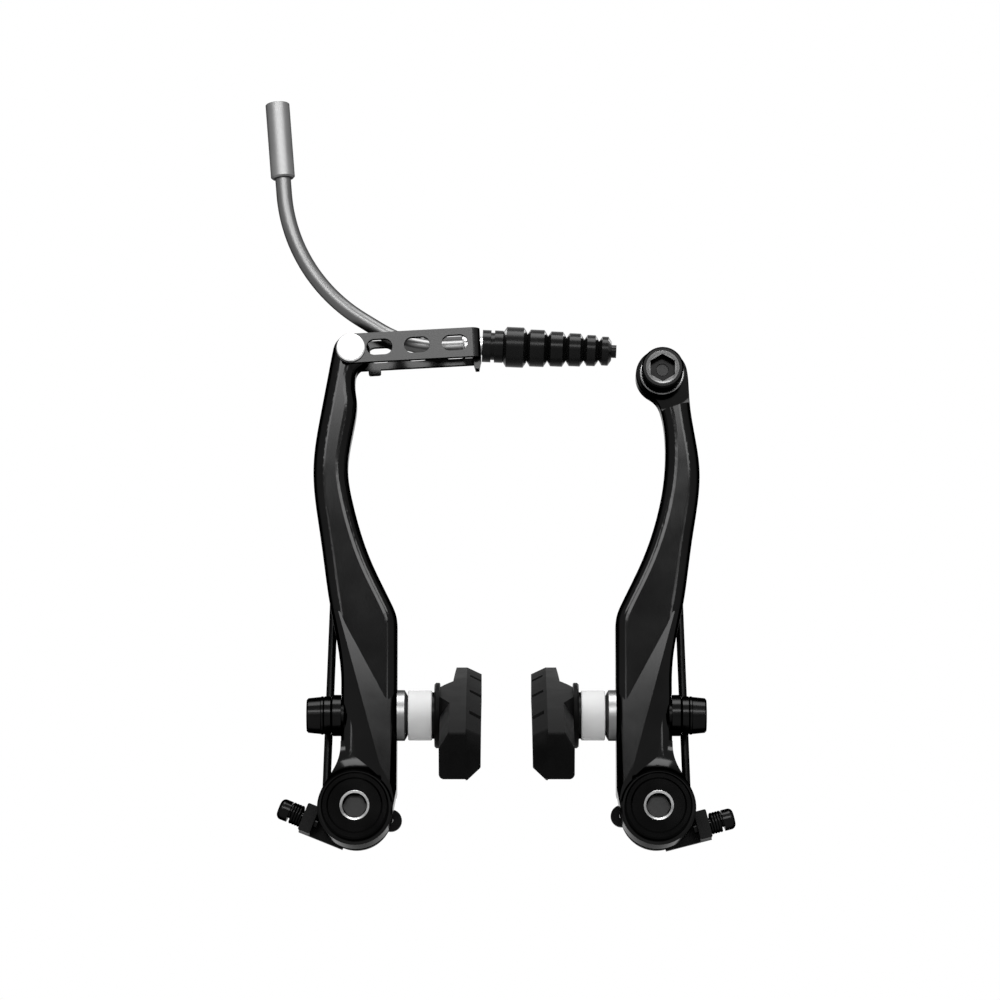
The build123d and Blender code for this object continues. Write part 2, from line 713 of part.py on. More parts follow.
def pad_sweep(section):
    """Pad body: a section swept both ways along the rim's arc."""
    frame = pad_frame()
    half_angle = degrees(PAD_LENGTH / 2 / PAD_ARC_RADIUS)
    centre = frame.from_local_coords(Vector(0, -PAD_ARC_RADIUS, 0))
    with BuildPart() as body:
        revolve(frame * section.sketch, axis=Axis(centre, OUTWARD), revolution_arc=half_angle)
        revolve(frame * section.sketch, axis=Axis(centre, -OUTWARD), revolution_arc=half_angle)
    return body


def pad_section(corners, soft_corner, radius):
    """Section of the pad in the plane across it, with one corner rounded."""
    with BuildSketch() as section:
        with BuildLine():
            Polyline(*corners, close=True)
        make_face()
        fillet(section.vertices().sort_by_distance((*soft_corner, 0))[0], radius)
    return section


def pad_relief():
    """Cut that leaves the holder's hump: the bevel along the top and the thin half behind the post."""
    half = PAD_HEIGHT / 2
    thin_x = HOLDER_FACE_X + HOLDER_THIN
    tip_x = HOLDER_FACE_X + HOLDER_TIP
    clear_x = SHOULDER_BACK_X + HOLDER_BEVEL_DEPTH
    outer = (clear_x, half + HOLDER_BEVEL_HEIGHT)
    foot = half - HOLDER_BEVEL_HEIGHT * (1 + (clear_x - HOLDER_BACK_X) / HOLDER_BEVEL_DEPTH)
    bevel = ((HOLDER_BACK_X - 2 * HOLDER_BEVEL_DEPTH, outer[1]), (clear_x, foot), outer)
    frame = pad_frame()
    hump = turned(
        post_axis(),
        (
            (HOLDER_FACE_X, 0),
            (HOLDER_FACE_X, HUMP_RADIUS + HUMP_SPREAD),
            (HOLDER_BACK_X, HUMP_RADIUS),
            (clear_x + HOLDER_BEVEL_DEPTH, HUMP_RADIUS),
            (clear_x + HOLDER_BEVEL_DEPTH, 0),
        ),
    )
    with BuildPart() as relief:
        add(pad_sweep(pad_section(bevel, outer, HOLDER_ROUND)).part)
        with BuildSketch(Plane(frame.origin, x_dir=OUTWARD, z_dir=frame.y_dir)):
            with BuildLine():
                Polyline(
                    (clear_x, 0),
                    (thin_x, 0),
                    (tip_x, PAD_LENGTH / 2),
                    (tip_x, PAD_LENGTH),
                    (clear_x, PAD_LENGTH),
                    close=True,
                )
            make_face()
        extrude(amount=PAD_HEIGHT, both=True)
        add(hump.part, mode=Mode.SUBTRACT)
    return relief


def pad_holder():
    """Moulded back of the pad: bevelled along its top, thin behind the hump, with a shoulder disc."""
    half = PAD_HEIGHT / 2
    heel = (HOLDER_BACK_X, -half)
    corners = ((HOLDER_FACE_X, -half), (HOLDER_FACE_X, half), (HOLDER_BACK_X, half), heel)
    with BuildPart() as holder:
        add(pad_sweep(pad_section(corners, heel, HOLDER_ROUND)).part)
        add(pad_relief().part, mode=Mode.SUBTRACT)
        add(
            turned(
                post_axis(),
                (
                    (HOLDER_BACK_X, 0),
                    (HOLDER_BACK_X, SHOULDER_RADIUS - RING_BREAK),
                    (HOLDER_BACK_X + RING_BREAK, SHOULDER_RADIUS),
                    (SHOULDER_BACK_X - EDGE_BREAK, SHOULDER_RADIUS),
                    (SHOULDER_BACK_X, SHOULDER_RADIUS - EDGE_BREAK),
                    (SHOULDER_BACK_X, 0),
                ),
            ).part
        )
        near_end = holder.faces().filter_by(GeomType.PLANE).sort_by(Axis.Y)[0]
        fillet(near_end.edges().sort_by(Axis.X)[1:], HOLDER_END_ROUND)
        with BuildSketch(Plane.YZ.offset(HOLDER_BACK_X - POST_EMBED)):
            with Locations((-POST_DEPTH, POST_HEIGHT)):
                Circle(POST_RADIUS)
        extrude(amount=POST_EMBED + SHOULDER_THICKNESS, mode=Mode.SUBTRACT)
    return holder


def friction_block():
    """Rubber block: bevelled along its lower edge, rounded at its nose and cut by slanted grooves."""
    half = PAD_HEIGHT / 2
    lower_edge = (PAD_FACE_X, FRICTION_BEVEL - half)
    corners = (
        (HOLDER_FACE_X, -half),
        (PAD_FACE_X + FRICTION_BEVEL, -half),
        lower_edge,
        (PAD_FACE_X, half - FRICTION_TOP_FALL),
        (HOLDER_FACE_X, half),
    )
    frame = pad_frame()
    face = Plane(frame.origin + OUTWARD * PAD_FACE_X, x_dir=frame.z_dir, z_dir=-OUTWARD)
    with BuildPart() as block:
        add(pad_sweep(pad_section(corners, lower_edge, FRICTION_ROUND)).part)
        near_end = block.faces().filter_by(GeomType.PLANE).sort_by(Axis.Y)[0]
        fillet(near_end.edges().sort_by(Axis.Z)[-1], FRICTION_NOSE_ROUND)
        with BuildSketch(face):
            with GridLocations(GROOVE_SPACING, 1, GROOVE_COUNT, 1):
                Rectangle(GROOVE_WIDTH, 2 * PAD_HEIGHT, rotation=GROOVE_SLANT)
        extrude(amount=-GROOVE_DEPTH, mode=Mode.SUBTRACT)
    return block


def pad_post():
    """Stud moulded into the holder, with a collar between the shoulder disc and the spacer."""
    return turned(
        post_axis(),
        (
            (HOLDER_BACK_X - POST_EMBED, 0),
            (HOLDER_BACK_X - POST_EMBED, POST_RADIUS),
            (SHOULDER_BACK_X, POST_RADIUS),
            (SHOULDER_BACK_X, COLLAR_RADIUS),
            (SPACER_X, COLLAR_RADIUS),
            (SPACER_X, POST_RADIUS),
            (POST_END_X - EDGE_BREAK, POST_RADIUS),
            (POST_END_X, POST_RADIUS - EDGE_BREAK),
            (POST_END_X, 0),
        ),
    )


def dome_arc(crown, facing, radius):
    """Arc of a ball seat, from its crown at the post's hole out to a radius, facing along the post."""
    hole = sqrt(DOME_RADIUS**2 - POST_HOLE_RADIUS**2)
    middle = (POST_HOLE_RADIUS + radius) / 2
    points = [
        (crown - facing * (hole - sqrt(DOME_RADIUS**2 - distance**2)), distance)
        for distance in (POST_HOLE_RADIUS, middle, radius)
    ]
    ThreePointArc(*points)
    return points[-1]


def domed_washer(seat, facing, outer, length):
    """Washer with a flat side on the arm and a ball-shaped side away from it."""
    crown = seat + facing * length
    with BuildPart() as washer:
        with BuildSketch(post_axis()):
            with BuildLine():
                rim = dome_arc(crown, facing, outer)
                Polyline(rim, (seat, outer), (seat, POST_HOLE_RADIUS), (crown, POST_HOLE_RADIUS))
            make_face()
        revolve(axis=Axis(post_axis().origin, OUTWARD))
    return washer


def cup_washer(seat, facing, outer, mouth, end):
    """Washer hollowed to sit on a domed washer whose crown is at the seat, with a flat rim round it."""
    crown = seat + facing * DOME_CLEARANCE
    with BuildPart() as washer:
        with BuildSketch(post_axis()):
            with BuildLine():
                rim = dome_arc(crown, facing, mouth)
                Polyline(
                    rim,
                    (rim[0], outer - RING_BREAK),
                    (rim[0] + facing * RING_BREAK, outer),
                    (end - facing * RING_BREAK, outer),
                    (end, outer - RING_BREAK),
                    (end, POST_HOLE_RADIUS),
                    (crown, POST_HOLE_RADIUS),
                )
            make_face()
        revolve(axis=Axis(post_axis().origin, OUTWARD))
    return washer


def pad_nut():
    """Round nut on the post's end, tapered outward, with a hexagonal socket."""
    blank = turned(
        post_axis(),
        (
            (NUT_X, POST_RADIUS),
            (NUT_X, NUT_RADIUS),
            (NUT_END_X - EDGE_BREAK, NUT_END_RADIUS),
            (NUT_END_X, NUT_END_RADIUS - EDGE_BREAK),
            (NUT_END_X, 0),
            (POST_END_X, 0),
            (POST_END_X, POST_RADIUS),
        ),
    )
    mouth = Plane((NUT_END_X, -POST_DEPTH, POST_HEIGHT), x_dir=FORWARD, z_dir=OUTWARD)
    return socketed(blank, mouth, NUT_SOCKET_FLATS, NUT_SOCKET_DEPTH)


# Link, noodle and boot, on the left arm
def link_direction():
    return Vector(cos(radians(LINK_RISE)), 0, sin(radians(LINK_RISE)))


def link_point(along):
    """Point on the link's axis, at a distance from the pin."""
    return Vector(-ARM_TOP_X, -BLADE_MIDDLE, PIN_REACH) + link_direction() * along


def link_front(depth=0.0):
    """Forward-facing plane at the pin, with its local x axis along the link."""
    return Plane(link_point(0) + FORWARD * depth, x_dir=link_direction(), z_dir=FORWARD)


def link_plate():
    """Strip bent to a U: two windowed cheeks and an end wall with a keyhole open to the top."""
    plan = Plane(link_point(0), x_dir=link_direction(), z_dir=link_front().y_dir)
    inner_end = LINK_LENGTH - LINK_WALL
    wall = Plane(link_point(inner_end), x_dir=-FORWARD, z_dir=link_direction())
    windows = [(WINDOW_FIRST + step * WINDOW_SPACING, 0) for step in range(WINDOW_COUNT)]
    from_end = (Align.MIN, Align.CENTER)
    half = LINK_HEIGHT / 2
    with BuildPart() as link:
        with BuildSketch(plan) as strip:
            with Locations((-LINK_END_RADIUS, 0)):
                Rectangle(LINK_END_RADIUS + LINK_LENGTH, LINK_WIDTH, align=from_end)
            fillet(strip.vertices().group_by(Axis.X)[-1], LINK_BEND_RADIUS)
            with Locations((-LINK_END_RADIUS, 0)):
                Rectangle(LINK_END_RADIUS + inner_end, LINK_GAP, align=from_end, mode=Mode.SUBTRACT)
        extrude(amount=LINK_END_RADIUS, both=True)
        with BuildSketch(link_front(-LINK_WIDTH)):
            Circle(LINK_END_RADIUS)
            Rectangle(LINK_LENGTH, LINK_HEIGHT, align=(Align.MIN, Align.CENTER))
        extrude(amount=2 * LINK_WIDTH, mode=Mode.INTERSECT)
        with BuildSketch(link_front(-LINK_WIDTH / 2)) as lug:
            with Locations((LINK_LUG_START, -half - LINK_LUG_DROP)):
                Rectangle(LINK_LUG_LENGTH, LINK_LUG_DROP, align=(Align.MIN, Align.MIN))
            fillet(lug.vertices().group_by(Axis.Y)[0], LINK_LUG_ROUND)
        extrude(amount=LINK_PLATE)
        with BuildSketch(link_front()):
            with BuildLine():
                Polyline(
                    (inner_end, -half),
                    (LINK_LENGTH, -half),
                    (LINK_LENGTH - WALL_TAB_TAPER, -half - WALL_TAB_DROP),
                    (inner_end + WALL_TAB_TAPER, -half - WALL_TAB_DROP),
                    close=True,
                )
            make_face()
        extrude(amount=WALL_TAB_WIDTH / 2, both=True)
        with BuildSketch(link_front(-LINK_WIDTH)):
            with Locations(*windows):
                SlotOverall(WINDOW_LENGTH, WINDOW_HEIGHT)
            Circle(PIN_RADIUS)
        extrude(amount=2 * LINK_WIDTH, mode=Mode.SUBTRACT)
        with BuildSketch(wall):
            Circle(TIP_NOSE_RADIUS + KEYHOLE_CLEARANCE)
            Rectangle(KEYHOLE_SLOT, LINK_HEIGHT, align=(Align.CENTER, Align.MIN))
        extrude(amount=LINK_WALL, mode=Mode.SUBTRACT)
    return link


def link_pin():
    """Rivet through the link's cheeks and the arm's tongue, with a flat head on each side."""
    axis = Plane(link_point(0), x_dir=FORWARD, z_dir=OUTWARD)
    half = LINK_WIDTH / 2
    top = half + PIN_HEAD_HEIGHT
    return turned(
        axis,
        (
            (-top, 0),
            (-top, PIN_HEAD_RADIUS - EDGE_BREAK),
            (EDGE_BREAK - top, PIN_HEAD_RADIUS),
            (-half, PIN_HEAD_RADIUS),
            (-half, PIN_RADIUS),
            (half, PIN_RADIUS),
            (half, PIN_HEAD_RADIUS),
            (top - EDGE_BREAK, PIN_HEAD_RADIUS),
            (top, PIN_HEAD_RADIUS - EDGE_BREAK),
            (top, 0),
        ),
    )


def ferrule_direction():
    return Vector(-sin(radians(FERRULE_LEAN)), 0, cos(radians(FERRULE_LEAN)))


def noodle_corners():
    """Corners of the pipe's centre line, from its end in the ferrule to its end in the tip."""
    fall = radians(PIPE_MIDDLE_ANGLE)
    end = link_point(LINK_LENGTH - LINK_WALL - TIP_COLLAR_LENGTH + TIP_GRIP)
    lower = end - link_direction() * PIPE_LOWER_RUN
    upper = lower + Vector(-cos(fall), 0, sin(fall)) * PIPE_MIDDLE_RUN
    start = upper + ferrule_direction() * (PIPE_UPPER_RUN + FERRULE_GRIP)
    return (start, upper, lower, end)


def noodle_tube(outer, inner):
    """Tube along the noodle's centre line."""
    with BuildPart() as tube:
        with BuildLine() as path:
            FilletPolyline(*noodle_corners(), radius=(PIPE_UPPER_BEND, PIPE_LOWER_BEND))
        with BuildSketch(Plane(path.line @ 0, z_dir=path.line % 0)):
            Circle(outer)
            Circle(inner, mode=Mode.SUBTRACT)
        sweep(path=path.line)
    return tube


def noodle_ferrule():
    """Socket at the pipe's top: gripped on the pipe below, bored for the cable casing above."""
    foot = noodle_corners()[0] - ferrule_direction() * FERRULE_GRIP
    socket = FERRULE_LENGTH - FERRULE_BORE_DEPTH
    return turned(
        Plane(foot, x_dir=ferrule_direction(), z_dir=FORWARD),
        (
            (0, PIPE_RADIUS),
            (0, FERRULE_RADIUS - EDGE_BREAK),
            (EDGE_BREAK, FERRULE_RADIUS),
            (FERRULE_LENGTH - EDGE_BREAK / 2, FERRULE_RADIUS),
            (FERRULE_LENGTH, FERRULE_RADIUS - EDGE_BREAK / 2),
            (FERRULE_LENGTH, FERRULE_BORE_RADIUS),
            (socket, FERRULE_BORE_RADIUS),
            (socket, LINER_BORE_RADIUS),
            (FERRULE_GRIP, LINER_BORE_RADIUS),
            (FERRULE_GRIP, PIPE_RADIUS),
        ),
    )


def noodle_tip():
    """Bright nose on the pipe's end: its collar stops at the wall and its nose passes the keyhole."""
    stop = LINK_LENGTH - LINK_WALL
    start = stop - TIP_COLLAR_LENGTH
    grip = start + TIP_GRIP
    nose = LINK_LENGTH + TIP_NOSE_REACH
    return turned(
        link_front(),
        (
            (start, PIPE_RADIUS),
            (start, TIP_COLLAR_RADIUS - EDGE_BREAK),
            (start + EDGE_BREAK, TIP_COLLAR_RADIUS),
            (stop, TIP_COLLAR_RADIUS),
            (stop, TIP_NOSE_RADIUS),
            (nose - EDGE_BREAK, TIP_NOSE_RADIUS),
            (nose, TIP_NOSE_RADIUS - EDGE_BREAK),
            (nose, LINER_BORE_RADIUS),
            (grip, LINER_BORE_RADIUS),
            (grip, PIPE_RADIUS),
        ),
    )


def rubber_boot():
    """Bellows over the cable: a ribbed neck, a row of shrinking lobes and a small end nub."""
    droop = radians(BOOT_DROOP)
    axis = Plane(
        link_point(LINK_LENGTH + BOOT_START_GAP),
        x_dir=Vector(cos(droop), 0, -sin(droop)),
        z_dir=FORWARD,
    )
    rib = BOOT_NECK_RIB
    along = 2 * rib + BOOT_NECK_GROOVE
    profile = [
        (0, BOOT_MOUTH_RADIUS),
        (0, BOOT_NECK_RADIUS),
        (rib, BOOT_NECK_RADIUS),
        (rib, BOOT_NECK_GROOVE_RADIUS),
        (rib + BOOT_NECK_GROOVE, BOOT_NECK_GROOVE_RADIUS),
        (rib + BOOT_NECK_GROOVE, BOOT_NECK_RADIUS),
        (along, BOOT_NECK_RADIUS),
    ]
    for radius, flat in zip(BOOT_LOBE_RADII, BOOT_LOBE_FLATS):
        profile += [
            (along, radius - BOOT_GROOVE_STEP),
            (along + BOOT_LOBE_SLOPE, radius),
            (along + BOOT_LOBE_SLOPE + flat, radius),
            (along + 2 * BOOT_LOBE_SLOPE + flat, radius - BOOT_GROOVE_STEP),
        ]
        along += 2 * BOOT_LOBE_SLOPE + flat
    end = along + BOOT_NUB_LENGTH
    profile += [
        (along, BOOT_NUB_RADIUS),
        (end, BOOT_NUB_RADIUS),
        (end, BOOT_BORE_RADIUS),
        (BOOT_MOUTH_DEPTH, BOOT_BORE_RADIUS),
        (BOOT_MOUTH_DEPTH, BOOT_MOUTH_RADIUS),
    ]
    return turned(axis, profile)


# Cable bolt, on the right arm
def clamp_axis():
    """Plane whose local x axis is the cable bolt's, pointing forward from the mounting plane."""
    return Plane((ARM_TOP_X, 0, CLAMP_REACH), x_dir=FORWARD, z_dir=OUTWARD)


def cable_clamp_washer():
    return ring(
        clamp_axis(), CLAMP_SEAT_DEPTH, CABLE_WASHER_THICKNESS, CABLE_WASHER_RADIUS, BOLT_RADIUS
    )


def cable_bolt():
    """Cap screw whose washer clamps the cable against the arm's seat."""
    face = CABLE_SEAT + CABLE_HEAD_HEIGHT
    tail = BLADE_BACK - CABLE_BOLT_TAIL
    blank = turned(
        clamp_axis(),
        (
            (tail, 0),
            (tail, BOLT_RADIUS - EDGE_BREAK),
            (tail + EDGE_BREAK, BOLT_RADIUS),
            (CABLE_SEAT, BOLT_RADIUS),
            (CABLE_SEAT, CABLE_HEAD_RADIUS),
            (face - EDGE_BREAK, CABLE_HEAD_RADIUS),
            (face, CABLE_HEAD_RADIUS - EDGE_BREAK),
            (face, CABLE_RING_RADIUS),
            (face - CABLE_RING_STEP, CABLE_RING_RADIUS - CABLE_RING_STEP),
            (face - CABLE_RING_STEP, 0),
        ),
    )
    mouth = Plane((ARM_TOP_X, -face, CLAMP_REACH), x_dir=OUTWARD, z_dir=FORWARD)
    depth = CABLE_SOCKET_DEPTH + CABLE_RING_STEP
    with BuildPart() as bolt:
        add(socketed(blank, mouth, CABLE_SOCKET_FLATS, depth, CABLE_SOCKET_TURN).part)
        with BuildSketch(mouth.offset(-depth)):
            Circle(CABLE_FLOOR_RADIUS)
        extrude(amount=-CABLE_FLOOR_DEPTH, mode=Mode.SUBTRACT)
    return bolt


add_pair("pivot_bush", pivot_bush())
add_pair("pivot_bolt", pivot_bolt())
add_pair("return_spring", return_spring())
for maker in (spring_seat, stopper_pin, adjuster_screw, adjuster_spring):
    pieces["right_" + maker.__name__] = maker(RIGHT_SCREW_ANGLE)
    pieces["left_" + maker.__name__] = mirror_image(maker(LEFT_SCREW_ANGLE))
pieces["right_arm"] = clamp_arm()
pieces["left_arm"] = mirror_image(link_arm())
add_pair("pad_holder", pad_holder())
add_pair("friction_block", friction_block())
add_pair("pad_post", pad_post())
add_pair("inner_convex_washer", domed_washer(ARM_INNER_X, -1, CONVEX_RADIUS, CONVEX_LENGTH))
add_pair("inner_spacer", cup_washer(CONVEX_X, -1, SPACER_RADIUS, SPACER_MOUTH, SPACER_X))
add_pair(
    "outer_convex_washer", domed_washer(ARM_SEAT_X, 1, OUTER_CONVEX_RADIUS, OUTER_CONVEX_LENGTH)
)
add_pair("outer_cup_washer", cup_washer(CUP_X, 1, CUP_RADIUS, CUP_MOUTH, PLAIN_X))
add_pair(
    "plain_washer",
    ring(post_axis(), PLAIN_X, PLAIN_WASHER_LENGTH, PLAIN_WASHER_RADIUS, POST_HOLE_RADIUS),
)
add_pair("pad_nut", pad_nut())
pieces["link_plate"] = link_plate()
pieces["link_pin"] = link_pin()
pieces["noodle_pipe"] = noodle_tube(PIPE_RADIUS, LINER_RADIUS)
pieces["noodle_liner"] = noodle_tube(LINER_RADIUS, LINER_BORE_RADIUS)
pieces["noodle_ferrule"] = noodle_ferrule()
pieces["noodle_tip"] = noodle_tip()
pieces["rubber_boot"] = rubber_boot()
pieces["cable_clamp_washer"] = cable_clamp_washer()
pieces["cable_bolt"] = cable_bolt()

os.makedirs("parts", exist_ok=True)
for name, piece in pieces.items():
    piece.part.label = name
    export_step(piece.part, f"parts/{name}.step")
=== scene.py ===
# %% [markdown]
# # Dressing a linear-pull bicycle brake
# The brake was modelled in CAD and packed as a fixed frame: every part already has its true shape,
# size and place, in metres. This lesson gives each part its finish, remakes in Blender the pieces
# that bend or carry fine detail, and lights the brake as in a plain studio picture.

# %% Load the frame
import math

import bmesh
import bpy
from mathutils import Matrix, Vector


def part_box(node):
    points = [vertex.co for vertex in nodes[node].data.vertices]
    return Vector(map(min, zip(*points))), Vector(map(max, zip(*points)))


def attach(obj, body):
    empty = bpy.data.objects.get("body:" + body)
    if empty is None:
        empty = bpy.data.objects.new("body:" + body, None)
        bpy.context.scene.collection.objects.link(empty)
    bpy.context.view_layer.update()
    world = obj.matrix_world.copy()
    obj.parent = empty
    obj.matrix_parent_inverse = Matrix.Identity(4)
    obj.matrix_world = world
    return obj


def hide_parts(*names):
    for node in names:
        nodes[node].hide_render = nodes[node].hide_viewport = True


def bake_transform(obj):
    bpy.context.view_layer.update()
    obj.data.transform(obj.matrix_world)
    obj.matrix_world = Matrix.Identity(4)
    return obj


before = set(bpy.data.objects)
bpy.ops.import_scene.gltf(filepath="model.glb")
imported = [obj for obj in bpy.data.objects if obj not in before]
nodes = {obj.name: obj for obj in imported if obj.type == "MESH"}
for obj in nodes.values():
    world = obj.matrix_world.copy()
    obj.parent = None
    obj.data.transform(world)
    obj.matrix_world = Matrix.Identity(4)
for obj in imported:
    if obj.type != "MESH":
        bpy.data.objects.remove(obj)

scene = bpy.context.scene
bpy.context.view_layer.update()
MM = 0.001

# %% [markdown]
# ## The camera
# The picture was taken with a long lens from slightly below, so the undersides show a little more
# towards the top. A camera could be fitted by eye, but here it is placed by a distance, a tilt and the
# width that it sees at the arms, which are easy to read and to change one at a time.

# %% Place the camera
VIEW_TILT = math.radians(-11.0)
VIEW_DISTANCE = 1.15
VIEW_WIDTH = 0.2464
AIM = Vector((-0.0016, -0.0094, 0.0769))
camera_data = bpy.data.cameras.new("studio_camera")
camera_data.lens = camera_data.sensor_width * VIEW_DISTANCE / VIEW_WIDTH
camera = bpy.data.objects.new("studio_camera", camera_data)
scene.collection.objects.link(camera)
camera.location = AIM + Vector((0, -math.cos(VIEW_TILT), math.sin(VIEW_TILT))) * VIEW_DISTANCE
camera.rotation_euler = (AIM - camera.location).to_track_quat("-Z", "Y").to_euler()
scene.camera = camera
print("lens", round(camera_data.lens, 1), "mm")

# %% [markdown]
# ## Soft boxes
# A black part is drawn by what it mirrors, so the place and size of the lamps matter more than their
# strength. One box overhead draws the upper faces, a wide strip in front gives the flat faces a grey
# sheen that fades downwards, two boxes and two low cards beside it show the slopes of the arms, and two
# boxes behind keep the back readable. Small hard lamps would give only dots on the rounded edges.

# %% Light the studio
MIDDLE = Vector((0, -0.01, 0.06))


def soft_box(name, place, width, height, power):
    """Rectangular area lamp that faces the middle of the brake."""
    lamp = bpy.data.lights.new(name, "AREA")
    lamp.shape = "RECTANGLE"
    lamp.size = width
    lamp.size_y = height
    lamp.energy = power
    holder = bpy.data.objects.new(name, lamp)
    holder.location = place
    holder.rotation_euler = (MIDDLE - Vector(place)).to_track_quat("-Z", "Y").to_euler()
    scene.collection.objects.link(holder)


SIDES = (("left", -1), ("right", 1))
soft_box("overhead_box", place=(0, -0.25, 0.95), width=0.6, height=0.5, power=13)
soft_box("front_strip", place=(0, -1.324, 0.5), width=1.1, height=0.25, power=13)
for side, sign in SIDES:
    soft_box(side + "_box", place=(sign * 0.791, -1.14, 0.809), width=0.48, height=0.26, power=5.9)
    soft_box(side + "_low_card", place=(sign * 0.509, -1.306, 0.187), width=0.24, height=0.12, power=0.8)
    soft_box(side + "_back_box", place=(sign * 0.75, 0.9, 0.8), width=0.4, height=0.3, power=3.8)

# %% [markdown]
# ## A white background
# A studio picture of a black part stands on pure white. A white world at full strength would also light
# every matt surface and turn the black rubber grey, so the world is white only to the eye, in a gloss
# or through glass, and gives a little fill light to everything else. The floor uses the same mask.


# %% Sight helper
def sight_mask(tree):
    """Socket that is 1 for what is seen directly, in a gloss or through glass."""
    path = tree.nodes.new("ShaderNodeLightPath")
    mask = path.outputs["Is Camera Ray"]
    for ray in ("Is Glossy Ray", "Is Transmission Ray"):
        either = tree.nodes.new("ShaderNodeMath")
        either.operation = "MAXIMUM"
        tree.links.new(mask, either.inputs[0])
        tree.links.new(path.outputs[ray], either.inputs[1])
        mask = either.outputs[0]
    return mask


# %% White world
FILL_STRENGTH = 0.08
world = bpy.data.worlds.new("studio_world")
scene.world = world
world.use_nodes = True
tree = world.node_tree
tree.nodes.clear()
fill = tree.nodes.new("ShaderNodeBackground")
fill.inputs["Color"].default_value = (1, 1, 1, 1)
fill.inputs["Strength"].default_value = FILL_STRENGTH
white = tree.nodes.new("ShaderNodeBackground")
white.inputs["Color"].default_value = (1, 1, 1, 1)
pick = tree.nodes.new("ShaderNodeMixShader")
out = tree.nodes.new("ShaderNodeOutputWorld")
tree.links.new(sight_mask(tree), pick.inputs["Fac"])
tree.links.new(fill.outputs[0], pick.inputs[1])
tree.links.new(white.outputs[0], pick.inputs[2])
tree.links.new(pick.outputs[0], out.inputs["Surface"])
scene.view_settings.view_transform = "Standard"
print("world fill", FILL_STRENGTH)

# %% [markdown]
# ## The floor
# The floor is a plain pale sheet well below the brake, as paper would be under a part that hangs on a
# thread. Closer up it would show in the undersides as a hard line, and from above it closes the view.

# %% Floor
FLOOR_HEIGHT = -0.3
FLOOR_SIZE = 3.0
floor_mesh = bpy.data.meshes.new("floor")
bm = bmesh.new()
bmesh.ops.create_grid(bm, x_segments=1, y_segments=1, size=FLOOR_SIZE)
bmesh.ops.translate(bm, vec=(0, 0, FLOOR_HEIGHT), verts=bm.verts)
bm.to_mesh(floor_mesh)
bm.free()
floor = bpy.data.objects.new("floor", floor_mesh)
scene.collection.objects.link(floor)
print("floor at", FLOOR_HEIGHT)

# %% [markdown]
# ## Shared surface effects
# Coatings, castings and mouldings all have a fine grain, and turned parts have fine rings. Each effect
# is a node group with named sockets, so every material can place it with its own scale. The groups put
# out heights and masks only; the shader itself stays in each material.


# %% Group helper
def new_group(name, inputs, outputs):
    """Shader node group with named sockets, and its two end nodes."""
    group = bpy.data.node_groups.new(name, "ShaderNodeTree")
    for socket_name, kind, value in inputs:
        socket = group.interface.new_socket(name=socket_name, in_out="INPUT", socket_type=kind)
        socket.default_value = value
    for socket_name in outputs:
        group.interface.new_socket(name=socket_name, in_out="OUTPUT", socket_type="NodeSocketFloat")
    return group, group.nodes.new("NodeGroupInput"), group.nodes.new("NodeGroupOutput")


# %% Grain group
grain_group, grain_in, grain_out = new_group(
    "surface_grain",
    [("Grain Scale", "NodeSocketFloat", 4000.0), ("Patch Scale", "NodeSocketFloat", 120.0)],
    ["Grain", "Patch"],
)
place = grain_group.nodes.new("ShaderNodeTexCoord")
fine = grain_group.nodes.new("ShaderNodeTexNoise")
fine.inputs["Detail"].default_value = 3.0
broad = grain_group.nodes.new("ShaderNodeTexNoise")
broad.inputs["Detail"].default_value = 4.0
for noise, socket in ((fine, "Grain Scale"), (broad, "Patch Scale")):
    grain_group.links.new(place.outputs["Object"], noise.inputs["Vector"])
    grain_group.links.new(grain_in.outputs[socket], noise.inputs["Scale"])
grain_group.links.new(fine.outputs["Fac"], grain_out.inputs["Grain"])
grain_group.links.new(broad.outputs["Fac"], grain_out.inputs["Patch"])
print("group", grain_group.name)

# %% Turning rings group
ring_group, ring_in, ring_out = new_group(
    "turning_rings",
    [("Axis", "NodeSocketVector", (1.0, 0.0, 0.0)), ("Rings per Metre", "NodeSocketFloat", 6000.0)],
    ["Rings"],
)
place = ring_group.nodes.new("ShaderNodeTexCoord")
along = ring_group.nodes.new("ShaderNodeVectorMath")
along.operation = "DOT_PRODUCT"
steps = ring_group.nodes.new("ShaderNodeMath")
steps.operation = "MULTIPLY"
lines = ring_group.nodes.new("ShaderNodeTexNoise")
lines.noise_dimensions = "1D"
lines.inputs["Scale"].default_value = 1.0
lines.inputs["Detail"].default_value = 2.0
ring_group.links.new(place.outputs["Object"], along.inputs[0])
ring_group.links.new(ring_in.outputs["Axis"], along.inputs[1])
ring_group.links.new(along.outputs["Value"], steps.inputs[0])
ring_group.links.new(ring_in.outputs["Rings per Metre"], steps.inputs[1])
ring_group.links.new(steps.outputs[0], lines.inputs["W"])
ring_group.links.new(lines.outputs["Fac"], ring_out.inputs["Rings"])
print("group", ring_group.name)

# %% [markdown]
# ## A material recipe
# All finishes share one recipe: a colour that varies a little in broad patches, a roughness that varies
# with the same patches, and a bump from the grain or the turning rings. What stays the same all over,
# such as metallic and specular level, is set on the shader's own sockets.

# %% Material recipe
PATCH_LOW = 0.3
PATCH_HIGH = 0.7


